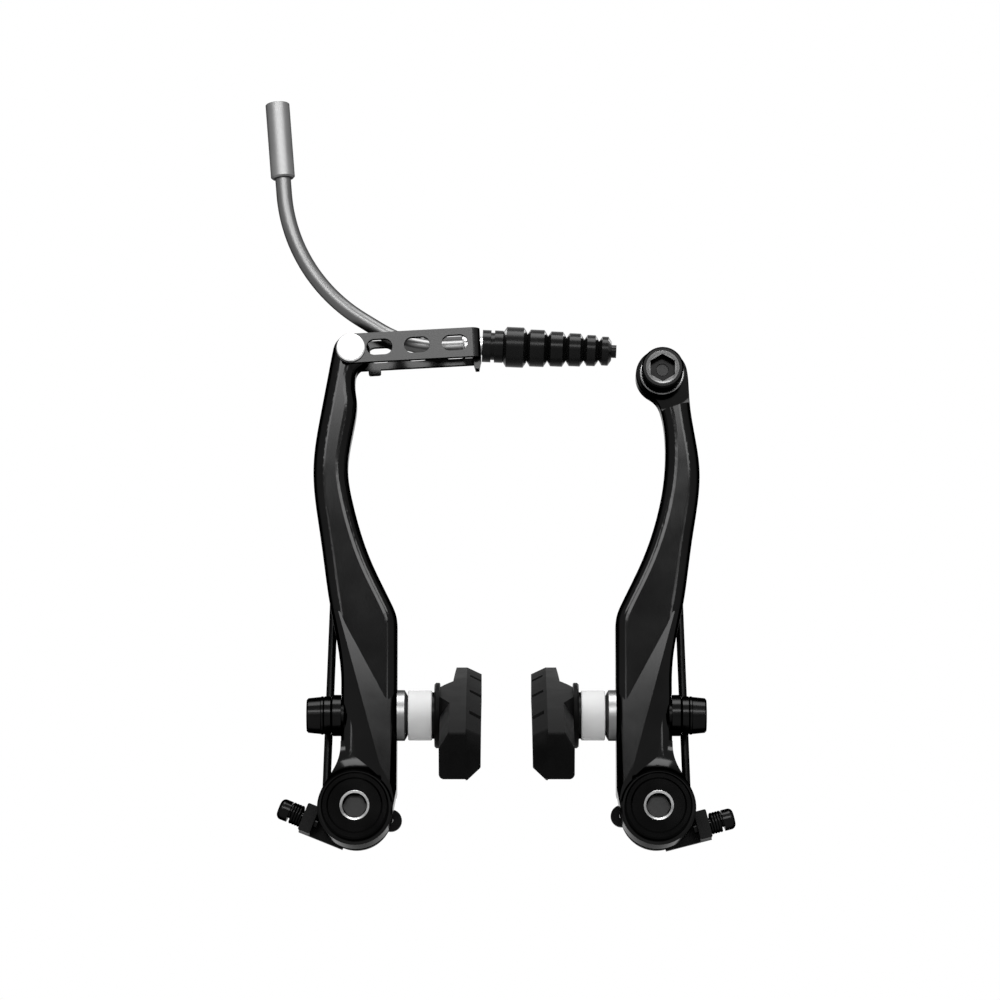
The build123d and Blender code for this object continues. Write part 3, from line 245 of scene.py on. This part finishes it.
def finish_material(name, dark, light, rough, metallic=0.0, specular=0.5, edge=1.0, grain=4000.0,
                    patch=120.0, depth=0.02, rings=None):
    """Material whose colour runs from dark to light and whose roughness runs over a range."""
    material = bpy.data.materials.new(name)
    material.use_nodes = True
    tree = material.node_tree
    shader = tree.nodes["Principled BSDF"]
    shader.inputs["Metallic"].default_value = metallic
    shader.inputs["Specular IOR Level"].default_value = specular
    shader.inputs["Specular Tint"].default_value = (edge, edge, edge, 1)
    surface = tree.nodes.new("ShaderNodeGroup")
    surface.node_tree = grain_group
    surface.inputs["Grain Scale"].default_value = grain
    surface.inputs["Patch Scale"].default_value = patch
    tone = tree.nodes.new("ShaderNodeValToRGB")
    tone.color_ramp.elements[0].position = PATCH_LOW
    tone.color_ramp.elements[0].color = (*dark, 1)
    tone.color_ramp.elements[1].position = PATCH_HIGH
    tone.color_ramp.elements[1].color = (*light, 1)
    gloss = tree.nodes.new("ShaderNodeMapRange")
    gloss.inputs["From Min"].default_value = PATCH_LOW
    gloss.inputs["From Max"].default_value = PATCH_HIGH
    gloss.inputs["To Min"].default_value = rough[0]
    gloss.inputs["To Max"].default_value = rough[1]
    bump = tree.nodes.new("ShaderNodeBump")
    bump.inputs["Strength"].default_value = 1.0
    bump.inputs["Distance"].default_value = depth * MM
    tree.links.new(surface.outputs["Patch"], tone.inputs["Fac"])
    tree.links.new(surface.outputs["Patch"], gloss.inputs["Value"])
    tree.links.new(tone.outputs["Color"], shader.inputs["Base Color"])
    tree.links.new(gloss.outputs["Result"], shader.inputs["Roughness"])
    height = surface.outputs["Grain"]
    if rings:
        turned = tree.nodes.new("ShaderNodeGroup")
        turned.node_tree = ring_group
        turned.inputs["Axis"].default_value = rings[0]
        turned.inputs["Rings per Metre"].default_value = rings[1]
        height = turned.outputs["Rings"]
    tree.links.new(height, bump.inputs["Height"])
    tree.links.new(bump.outputs["Normal"], shader.inputs["Normal"])
    return material


def grey(value):
    """Neutral colour of one brightness."""
    return (value, value, value)


# %% [markdown]
# ## Black finishes
# Anodised arms, blackened steel, rubber and moulded parts are all black, and differ only in their sheen.
# A grey base with a strong gloss would look like plastic, so the coats are metals with a very dark base
# and no bright rim, and the rubbers are matt with hardly any gloss.

# %% Black finishes
satin_coat = finish_material(
    "satin_black_coat", grey(0.0095), grey(0.0115), (0.1, 0.13), metallic=1.0, edge=0.0, depth=0.0005
)
link_coat = finish_material(
    "link_black_coat", grey(0.016), grey(0.02), (0.22, 0.28), metallic=1.0, edge=0.0, depth=0.002
)
black_steel = finish_material(
    "black_steel", grey(0.007), grey(0.009), (0.16, 0.22), metallic=1.0, edge=0.0, depth=0.001
)
bolt_steel = finish_material(
    "bolt_steel", grey(0.003), grey(0.004), (0.16, 0.22), metallic=1.0, edge=0.0, depth=0.001
)
wire = finish_material(
    "black_wire", grey(0.005), grey(0.008), (0.24, 0.3), metallic=1.0, edge=0.0, depth=0.001
)
moulded = finish_material(
    "moulded_black", grey(0.002), grey(0.003), (0.4, 0.5), specular=0.05, depth=0.01
)
boot_rubber = finish_material(
    "boot_rubber", grey(0.0015), grey(0.003), (0.22, 0.28), specular=0.08, grain=2500.0, depth=0.004
)
rubber = finish_material(
    "matt_rubber", grey(0.0015), grey(0.003), (0.4, 0.5), specular=0.02, grain=2500.0, depth=0.012
)
friction = finish_material(
    "friction_rubber", grey(0.002), grey(0.004), (0.45, 0.55), specular=0.006, grain=2000.0, depth=0.02
)
print("black finishes", len(bpy.data.materials))

# %% [markdown]
# ## Painted shade in the cable bolt's seat
# On the right arm a round seat is cut for the cable bolt, a little deeper than the blade, and it faces
# away from the lamps, so it lies in shade up to its edge. The CAD face is flush there and is left as it
# is, so that shade is painted: a copy of the arm's coat is darkened by a group from the distance to the
# bolt's axis.

# %% Painted seat shade group
SEAT_EDGE = 0.96
SEAT_PAINTED_SHADE = 0.1
shade_group, shade_in, shade_out = new_group(
    "round_shade",
    [("Centre", "NodeSocketVector", (0.0, 0.0, 0.0)), ("Radius", "NodeSocketFloat", 0.01)],
    ["Shade"],
)
place = shade_group.nodes.new("ShaderNodeTexCoord")
flat = shade_group.nodes.new("ShaderNodeVectorMath")
flat.operation = "MULTIPLY"
flat.inputs[1].default_value = (1, 0, 1)
reach = shade_group.nodes.new("ShaderNodeVectorMath")
reach.operation = "DISTANCE"
share = shade_group.nodes.new("ShaderNodeMath")
share.operation = "DIVIDE"
fade = shade_group.nodes.new("ShaderNodeValToRGB")
fade.color_ramp.elements[0].position = SEAT_EDGE
fade.color_ramp.elements[0].color = (*grey(SEAT_PAINTED_SHADE), 1)
fade.color_ramp.elements[1].position = 1.0
fade.color_ramp.elements[1].color = (1, 1, 1, 1)
shade_group.links.new(place.outputs["Object"], flat.inputs[0])
shade_group.links.new(flat.outputs["Vector"], reach.inputs[0])
shade_group.links.new(shade_in.outputs["Centre"], reach.inputs[1])
shade_group.links.new(reach.outputs["Value"], share.inputs[0])
shade_group.links.new(shade_in.outputs["Radius"], share.inputs[1])
shade_group.links.new(share.outputs[0], fade.inputs["Fac"])
shade_group.links.new(fade.outputs["Color"], shade_out.inputs["Shade"])
print("group", shade_group.name)

# %% Seat coat with painted shade
CABLE_AXIS = Vector((38.4, 0, 108.4)) * MM
SEAT_RADIUS = 9.2 * MM
# Painted shade: inside the seat the arm's coat is scaled to a tenth of its colour, back to full at its edge.
coat_with_painted_seat_shade = satin_coat.copy()
coat_with_painted_seat_shade.name = "satin_black_painted_seat_shade"
tree = coat_with_painted_seat_shade.node_tree
shade = tree.nodes.new("ShaderNodeGroup")
shade.node_tree = shade_group
shade.inputs["Centre"].default_value = CABLE_AXIS
shade.inputs["Radius"].default_value = SEAT_RADIUS
dim = tree.nodes.new("ShaderNodeVectorMath")
dim.operation = "SCALE"
tree.links.new(tree.nodes["Color Ramp"].outputs["Color"], dim.inputs[0])
tree.links.new(shade.outputs["Shade"], dim.inputs["Scale"])
tree.links.new(dim.outputs["Vector"], tree.nodes["Principled BSDF"].inputs["Base Color"])
print("seat coat", coat_with_painted_seat_shade.name)

# %% [markdown]
# ## Metal finishes
# The bare parts are turned, drawn or plated steel, each with its own brightness. Turned parts get fine
# rings along their axis, and drawn or plated ones a faint grain, because one steel for all would make the
# washers, the pipe and the rivet look like one piece.

# %% Metal finishes
ALONG_X = (1.0, 0.0, 0.0)
ALONG_Y = (0.0, 1.0, 0.0)
floor_steel = finish_material(
    "socket_floor_steel", grey(0.014), grey(0.018), (0.35, 0.45), metallic=1.0, edge=0.0, depth=0.002
)
plain_steel = finish_material(
    "plain_steel", grey(0.3), grey(0.38), (0.3, 0.4), metallic=1.0, edge=0.5, depth=0.003,
    rings=(ALONG_Y, 5000.0),
)
# Painted shade: the pad post is almost black, so the gap at its collar, where it shows, reads as shadow.
post_steel = finish_material(
    "post_steel", grey(0.006), grey(0.01), (0.3, 0.4), metallic=1.0, edge=0.0, depth=0.004,
    rings=(ALONG_X, 1500.0),
)
washer_steel = finish_material(
    "washer_steel", grey(0.14), grey(0.18), (0.34, 0.42), metallic=1.0, edge=0.0, depth=0.002,
    rings=(ALONG_X, 6000.0),
)
spacer_matt = finish_material(
    "spacer_matt", grey(0.34), grey(0.38), (0.6, 0.7), specular=0.2, depth=0.006, rings=(ALONG_X, 5000.0)
)
pin_bright = finish_material(
    "pin_bright", grey(0.84), grey(0.9), (0.4, 0.48), metallic=1.0, depth=0.002
)
tube_steel = finish_material(
    "tube_steel", grey(0.1), grey(0.12), (0.36, 0.42), metallic=1.0, edge=0.0, depth=0.0005
)
ferrule_satin = finish_material(
    "ferrule_satin", grey(0.15), grey(0.18), (0.42, 0.48), metallic=1.0, edge=0.0, depth=0.0005
)
tip_bright = finish_material(
    "tip_bright", grey(0.5), grey(0.6), (0.28, 0.36), metallic=1.0, edge=0.5, depth=0.003,
    rings=(ALONG_X, 6000.0),
)
clamp_bright = finish_material(
    "clamp_bright", grey(0.14), grey(0.18), (0.2, 0.28), metallic=1.0, edge=0.0, depth=0.0005
)
rim_bright = finish_material(
    "rim_bright", grey(0.5), grey(0.6), (0.34, 0.42), metallic=1.0, edge=0.0, depth=0.0005
)
rim_grey = finish_material(
    "rim_grey", grey(0.26), grey(0.3), (0.36, 0.44), metallic=1.0, edge=0.0, depth=0.0005
)
collar_grey = finish_material(
    "collar_grey", grey(0.05), grey(0.06), (0.36, 0.44), metallic=1.0, edge=0.0, depth=0.0005
)
print("all finishes", len(bpy.data.materials))

# %% [markdown]
# ## Liner and floor
# The pipe's liner is milky plastic. The floor is pale paper, and a share of glow keeps it as light to the
# eye as the background, because lamps strong enough to do that would wash out the black.

# %% Liner and floor
liner_white = finish_material("liner_white", grey(0.75), grey(0.82), (0.45, 0.55), depth=0.004)
floor_pale = finish_material(
    "floor_pale", grey(0.84), grey(0.88), (0.85, 0.95), specular=0.1, grain=300.0, patch=3.0, depth=0.05
)
FLOOR_GLOW = 0.8
GLOW_TONE = 0.92
tree = floor_pale.node_tree
share = tree.nodes.new("ShaderNodeMath")
share.operation = "MULTIPLY"
share.inputs[1].default_value = FLOOR_GLOW
glow = tree.nodes.new("ShaderNodeEmission")
glow.inputs["Color"].default_value = (*grey(GLOW_TONE), 1)
mix = tree.nodes.new("ShaderNodeMixShader")
tree.links.new(sight_mask(tree), share.inputs[0])
tree.links.new(share.outputs[0], mix.inputs["Fac"])
tree.links.new(tree.nodes["Principled BSDF"].outputs["BSDF"], mix.inputs[1])
tree.links.new(glow.outputs["Emission"], mix.inputs[2])
tree.links.new(mix.outputs["Shader"], tree.nodes["Material Output"].inputs["Surface"])
floor.data.materials.append(floor_pale)
print("materials", len(bpy.data.materials))

# %% [markdown]
# ## Dressing the CAD parts
# The left and right parts share their finishes, so one list by kind is enough and the side is cut off the
# name. Only the right arm has a coat of its own, with painted shade in its seat. Each part gets exactly
# one finish; the finer touches come as pieces of their own.

# %% Dress the nodes
FINISH_OF = {
    "arm": satin_coat, "pivot_bush": plain_steel, "pivot_bolt": bolt_steel, "spring_seat": moulded,
    "stopper_pin": plain_steel, "return_spring": wire, "adjuster_screw": black_steel, "adjuster_spring": wire,
    "pad_holder": rubber, "friction_block": friction, "pad_post": post_steel,
    "inner_convex_washer": washer_steel, "inner_spacer": spacer_matt, "outer_convex_washer": black_steel,
    "outer_cup_washer": black_steel, "plain_washer": black_steel, "pad_nut": black_steel,
    "link_plate": link_coat, "link_pin": pin_bright, "noodle_pipe": tube_steel, "noodle_liner": liner_white,
    "noodle_ferrule": ferrule_satin, "noodle_tip": tip_bright, "rubber_boot": boot_rubber,
    "cable_bolt": bolt_steel, "cable_clamp_washer": clamp_bright,
}
for name, node in nodes.items():
    kind = name.removeprefix("left_").removeprefix("right_")
    node.data.materials.clear()
    node.data.materials.append(coat_with_painted_seat_shade if name == "right_arm" else FINISH_OF[kind])
print("dressed", len(nodes))

# %% [markdown]
# ## Closing a piece
# Every new piece ends in the same way: open ends are filled, all faces turned outwards, long strips
# shaded smooth up to sharp edges, and the mesh becomes an object at the origin with its finish. A left
# spring is the right one mirrored across the middle, which turns it inside out, so the normals are set
# here, after the mirroring.

# %% Finish a piece
SHARP_ANGLE = math.radians(40.0)


def make_piece(bm, name, finish):
    """Fill the open ends of a mesh and make it a piece with a finish."""
    bmesh.ops.holes_fill(bm, edges=[e for e in bm.edges if e.is_boundary], sides=0)
    bmesh.ops.recalc_face_normals(bm, faces=bm.faces)
    for face in bm.faces:
        face.smooth = len(face.verts) == 4
    for edge in bm.edges:
        edge.smooth = edge.calc_face_angle(0) < SHARP_ANGLE
    mesh = bpy.data.meshes.new(name)
    bm.to_mesh(mesh)
    bm.free()
    mesh.materials.append(finish)
    piece = bpy.data.objects.new(name, mesh)
    scene.collection.objects.link(piece)
    print(name, len(mesh.polygons), "faces")
    return piece


# %% [markdown]
# ## Return springs
# Each arm is pushed out by a spring: a short coil round the pivot, and a long leg whose hook catches the
# back of the arm. A curve with a round bevel would do, but the leg has to bend when the arm swings, so
# the wire is a mesh: one circle is spun into the coil, then drawn up the leg and round the hook.


# %% Wire drawing helpers
def draw_out(bm, ring, move, steps):
    """Carry a ring of edges along a straight line, and give the last ring."""
    for _ in range(steps):
        made = bmesh.ops.extrude_edge_only(bm, edges=ring)["geom"]
        ends = [g for g in made if isinstance(g, bmesh.types.BMVert)]
        bmesh.ops.translate(bm, vec=move / steps, verts=ends)
        ring = [g for g in made if isinstance(g, bmesh.types.BMEdge) and g.is_boundary]
    return ring


def bend(bm, ring, centre, axis, angle, steps, rise=(0, 0, 0)):
    """Carry a ring of edges round an axis, with a rise at each step, and give the last ring."""
    ends = bmesh.ops.spin(bm, geom=ring, cent=centre, axis=axis, dvec=rise, angle=angle, steps=steps)
    return [g for g in ends["geom_last"] if isinstance(g, bmesh.types.BMEdge)]


# %% Return springs
PIVOT = Vector((36.7, 0, 0)) * MM
WIRE_RADIUS = 1.0 * MM
WIRE_SIDES = 16
COIL_START = PIVOT + Vector((7.6, -2.5, 0)) * MM
COIL_TURNS = 1.25
COIL_DEPTH = Vector((0, -2.875, 0)) * MM
COIL_STEPS = 60
LEG_TOP = Vector((42.4, -2.1, 60.4)) * MM
LEG_STEPS = 14
BEND_RADIUS = 2.0 * MM
BEND_STEPS = 8
HOOK_LENGTH = 6.6 * MM
HOOK_STEPS = 2
for side, sign in SIDES:
    bm = bmesh.new()
    bmesh.ops.create_circle(bm, cap_ends=False, radius=WIRE_RADIUS, segments=WIRE_SIDES)
    bmesh.ops.translate(bm, vec=COIL_START, verts=bm.verts)
    ring = bm.edges[:]
    bend(bm, ring, PIVOT, (0, 1, 0), COIL_TURNS * math.tau, COIL_STEPS, COIL_DEPTH / COIL_STEPS)
    bend_start = LEG_TOP - Vector((0, 0, BEND_RADIUS))
    ring = draw_out(bm, ring, bend_start - COIL_START, LEG_STEPS)
    ring = bend(bm, ring, bend_start - Vector((0, BEND_RADIUS, 0)), (1, 0, 0), math.pi / 2, BEND_STEPS)
    draw_out(bm, ring, Vector((0, BEND_RADIUS - HOOK_LENGTH, 0)), HOOK_STEPS)
    bmesh.ops.scale(bm, vec=(sign, 1, 1), verts=bm.verts)
    spring = make_piece(bm, side + "_spring_wire", wire)
    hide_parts(side + "_return_spring")
    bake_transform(spring)

# %% [markdown]
# ## Screw threads
# The bolts are plain cylinders in the CAD model, because a thread is too fine for it. A bump in the
# material would do from far off, but the ridge shows against the light at the bolt ends, so each thread
# is a real ridge: a small triangle is spun round the screw's axis and rises by one pitch a turn.

# %% Thread helpers
THREAD_SINK = 0.1 * MM
THREAD_SHARE = 0.8
THREAD_STEPS = 32


def thread_ridge(radius, pitch, length, rise):
    """Mesh of one thread ridge round the Z axis, from height 0 up."""
    bm = bmesh.new()
    foot = radius - THREAD_SINK
    width = THREAD_SHARE * pitch
    corners = [(foot, 0, 0), (radius + rise, 0, width / 2), (foot, 0, width)]
    verts = [bm.verts.new(corner) for corner in corners]
    ring = [bm.edges.new((verts[k - 1], verts[k])) for k in range(len(verts))]
    turns = (length - width) / pitch
    steps = round(turns * THREAD_STEPS)
    climb = Vector((0, 0, turns * pitch / steps))
    bend(bm, ring, (0, 0, 0), (0, 0, 1), turns * math.tau, steps, climb)
    return bm


def stand_on(bm, point, direction):
    """Turn a mesh from the Z axis to a direction and set its origin on a point."""
    turn = Vector((0, 0, 1)).rotation_difference(direction).to_matrix()
    bmesh.ops.rotate(bm, cent=(0, 0, 0), matrix=turn, verts=bm.verts)
    bmesh.ops.translate(bm, vec=point, verts=bm.verts)


# %% Bolt threads
BOLT_RADIUS = 3.0 * MM
BOLT_PITCH = 1.0 * MM
THREAD_RISE = 0.25 * MM
PIVOT_THREAD_LENGTH = 10.0 * MM
PIVOT_THREAD_START = 2.6 * MM
CABLE_THREAD_LENGTH = 1.6 * MM
CABLE_THREAD_START = 4.1 * MM
FORWARD = Vector((0, -1, 0))
for side, sign in SIDES:
    bm = thread_ridge(BOLT_RADIUS, BOLT_PITCH, PIVOT_THREAD_LENGTH, THREAD_RISE)
    stand_on(bm, sign * PIVOT + FORWARD * PIVOT_THREAD_START, FORWARD)
    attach(make_piece(bm, side + "_pivot_thread", bolt_steel), "mounting_hardware")
bm = thread_ridge(BOLT_RADIUS, BOLT_PITCH, CABLE_THREAD_LENGTH, THREAD_RISE)
stand_on(bm, CABLE_AXIS + FORWARD * CABLE_THREAD_START, FORWARD)
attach(make_piece(bm, "cable_bolt_thread", bolt_steel), "right_arm_body")

# %% [markdown]
# ## Adjuster threads
# The small screws that set the springs have a finer thread, part of which shows behind the head. It is
# the same ridge with a shorter pitch, laid along each screw's own slant, and it turns with the screw.

# %% Adjuster threads
SCREW_RADIUS = 1.5 * MM
SCREW_PITCH = 0.5 * MM
SCREW_RISE = 0.15 * MM
SCREW_LENGTH = 3.4 * MM
SCREW_DEPTH = 3.7 * MM
SCREW_DROP = 5.8 * MM
SCREW_REACH = 11.7 * MM
SCREW_ANGLES = {"left": math.radians(22.0), "right": math.radians(14.5)}
for side, sign in SIDES:
    angle = SCREW_ANGLES[side]
    outward = Vector((sign * math.cos(angle), 0, math.sin(angle)))
    across = Vector((sign * math.sin(angle), 0, -math.cos(angle)))
    start = sign * PIVOT + FORWARD * SCREW_DEPTH + across * SCREW_DROP + outward * SCREW_REACH
    bm = thread_ridge(SCREW_RADIUS, SCREW_PITCH, SCREW_LENGTH, SCREW_RISE)
    stand_on(bm, start, outward)
    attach(make_piece(bm, side + "_adjuster_thread", black_steel), side + "_adjuster")

# %% [markdown]
# ## Socket rims
# The key sockets of the bolts have a dished rim where the black finish is gone, which shows as a fine
# bright ring. The dish could get a second material on the CAD face, but that mesh is left as it is, so
# the bare rim is a thin turned shell that lies in the dish: four corners spun once round the bolt's axis.

# %% Socket rims
RIM_STEP = 0.5 * MM
RIM_SKIN = 0.06 * MM
RIM_STEPS = 64
PIVOT_RIM_RADIUS = 3.6 * MM
CABLE_RIM_RADIUS = 4.1 * MM


def dished_rim(radius):
    """Mesh of a thin cone that lies in a bolt's dish, round the Z axis and below height 0."""
    bm = bmesh.new()
    inner = radius - RIM_STEP
    under = [(radius, 0), (inner, -RIM_STEP)]
    over = [(across - RIM_SKIN, height + RIM_SKIN) for across, height in reversed(under)]
    verts = [bm.verts.new((across, 0, height)) for across, height in under + over]
    ring = [bm.edges.new((verts[k - 1], verts[k])) for k in range(len(verts))]
    bmesh.ops.spin(
        bm, geom=ring, cent=(0, 0, 0), axis=(0, 0, 1), angle=math.tau, steps=RIM_STEPS, use_merge=True
    )
    return bm


for side, sign in SIDES:
    bm = dished_rim(PIVOT_RIM_RADIUS)
    stand_on(bm, Vector((sign * PIVOT.x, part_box(side + "_pivot_bolt")[0][1], 0)), FORWARD)
    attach(make_piece(bm, side + "_socket_rim", rim_bright), "mounting_hardware")
bm = dished_rim(CABLE_RIM_RADIUS)
cable_face = Vector((CABLE_AXIS.x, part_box("cable_bolt")[0][1], CABLE_AXIS.z))
stand_on(bm, cable_face, FORWARD)
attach(make_piece(bm, "cable_socket_rim", rim_grey), "right_arm_body")

# %% [markdown]
# ## Cable socket collar
# Between the dish and the key hole of the cable bolt lies a narrow flat, round outside and six-sided
# inside, bare too but darker. Two circles are made alike, the inner one is drawn in to a hexagon, and
# the bridge between them becomes a thin plate.

# %% Cable socket collar
COLLAR_RADIUS = 3.5 * MM
COLLAR_FLATS = 6.05 * MM
COLLAR_STEPS = 48
SIXTH = math.tau / 6
bm = bmesh.new()
bmesh.ops.create_circle(bm, cap_ends=False, radius=COLLAR_RADIUS, segments=COLLAR_STEPS)
inner = bmesh.ops.create_circle(bm, cap_ends=False, radius=COLLAR_RADIUS, segments=COLLAR_STEPS)["verts"]
for vert in inner:
    turn = (math.atan2(vert.co.y, vert.co.x) + SIXTH / 2) % SIXTH - SIXTH / 2
    vert.co *= COLLAR_FLATS / 2 / math.cos(turn) / COLLAR_RADIUS
bmesh.ops.bridge_loops(bm, edges=bm.edges[:])
raised = bmesh.ops.extrude_face_region(bm, geom=bm.faces[:])["geom"]
top = [g for g in raised if isinstance(g, bmesh.types.BMVert)]
bmesh.ops.translate(bm, vec=(0, 0, RIM_SKIN), verts=top)
stand_on(bm, cable_face - FORWARD * RIM_STEP, FORWARD)
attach(make_piece(bm, "cable_socket_collar", collar_grey), "right_arm_body")

# %% [markdown]
# ## Socket floors
# At the bottom of each socket the forging left a paler, bare floor: six-sided in the pivot bolts and a
# round spot in the cable bolt. A flat face with its own colour would do, but a thin plate with a small
# bevel catches the light at its edge, as the pressed floor does.

# %% Socket floors
FLOOR_PLATE = 0.15 * MM
PIVOT_FLOOR_CORNERS = 6
PIVOT_FLOOR_RADIUS = 3.1 * MM
PIVOT_FLOOR_DEPTH = 17.0 * MM
CABLE_FLOOR_CORNERS = 32
CABLE_FLOOR_RADIUS = 1.5 * MM
CABLE_FLOOR_DEPTH = 14.8 * MM


def floor_plate(corners, radius):
    """Mesh of a thin bevelled plate on the XY plane, with a corner along the X axis."""
    bm = bmesh.new()
    made = bmesh.ops.create_circle(bm, cap_ends=True, radius=radius, segments=corners)
    quarter = Matrix.Rotation(math.pi / 2, 3, "Z")
    bmesh.ops.rotate(bm, cent=(0, 0, 0), matrix=quarter, verts=made["verts"])
    top = bmesh.ops.extrude_face_region(bm, geom=bm.faces[:])["geom"]
    raised = [g for g in top if isinstance(g, bmesh.types.BMVert)]
    bmesh.ops.translate(bm, vec=(0, 0, FLOOR_PLATE), verts=raised)
    edge = [g for g in top if isinstance(g, bmesh.types.BMEdge)]
    bmesh.ops.bevel(
        bm, geom=edge, offset=FLOOR_PLATE / 2, affect="EDGES", segments=2, profile=0.5, material=-1
    )
    return bm


for side, sign in SIDES:
    bm = floor_plate(PIVOT_FLOOR_CORNERS, PIVOT_FLOOR_RADIUS)
    stand_on(bm, sign * PIVOT + FORWARD * PIVOT_FLOOR_DEPTH, FORWARD)
    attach(make_piece(bm, side + "_socket_floor", floor_steel), "mounting_hardware")
bm = floor_plate(CABLE_FLOOR_CORNERS, CABLE_FLOOR_RADIUS)
stand_on(bm, CABLE_AXIS + FORWARD * CABLE_FLOOR_DEPTH, FORWARD)
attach(make_piece(bm, "cable_socket_floor", floor_steel), "right_arm_body")
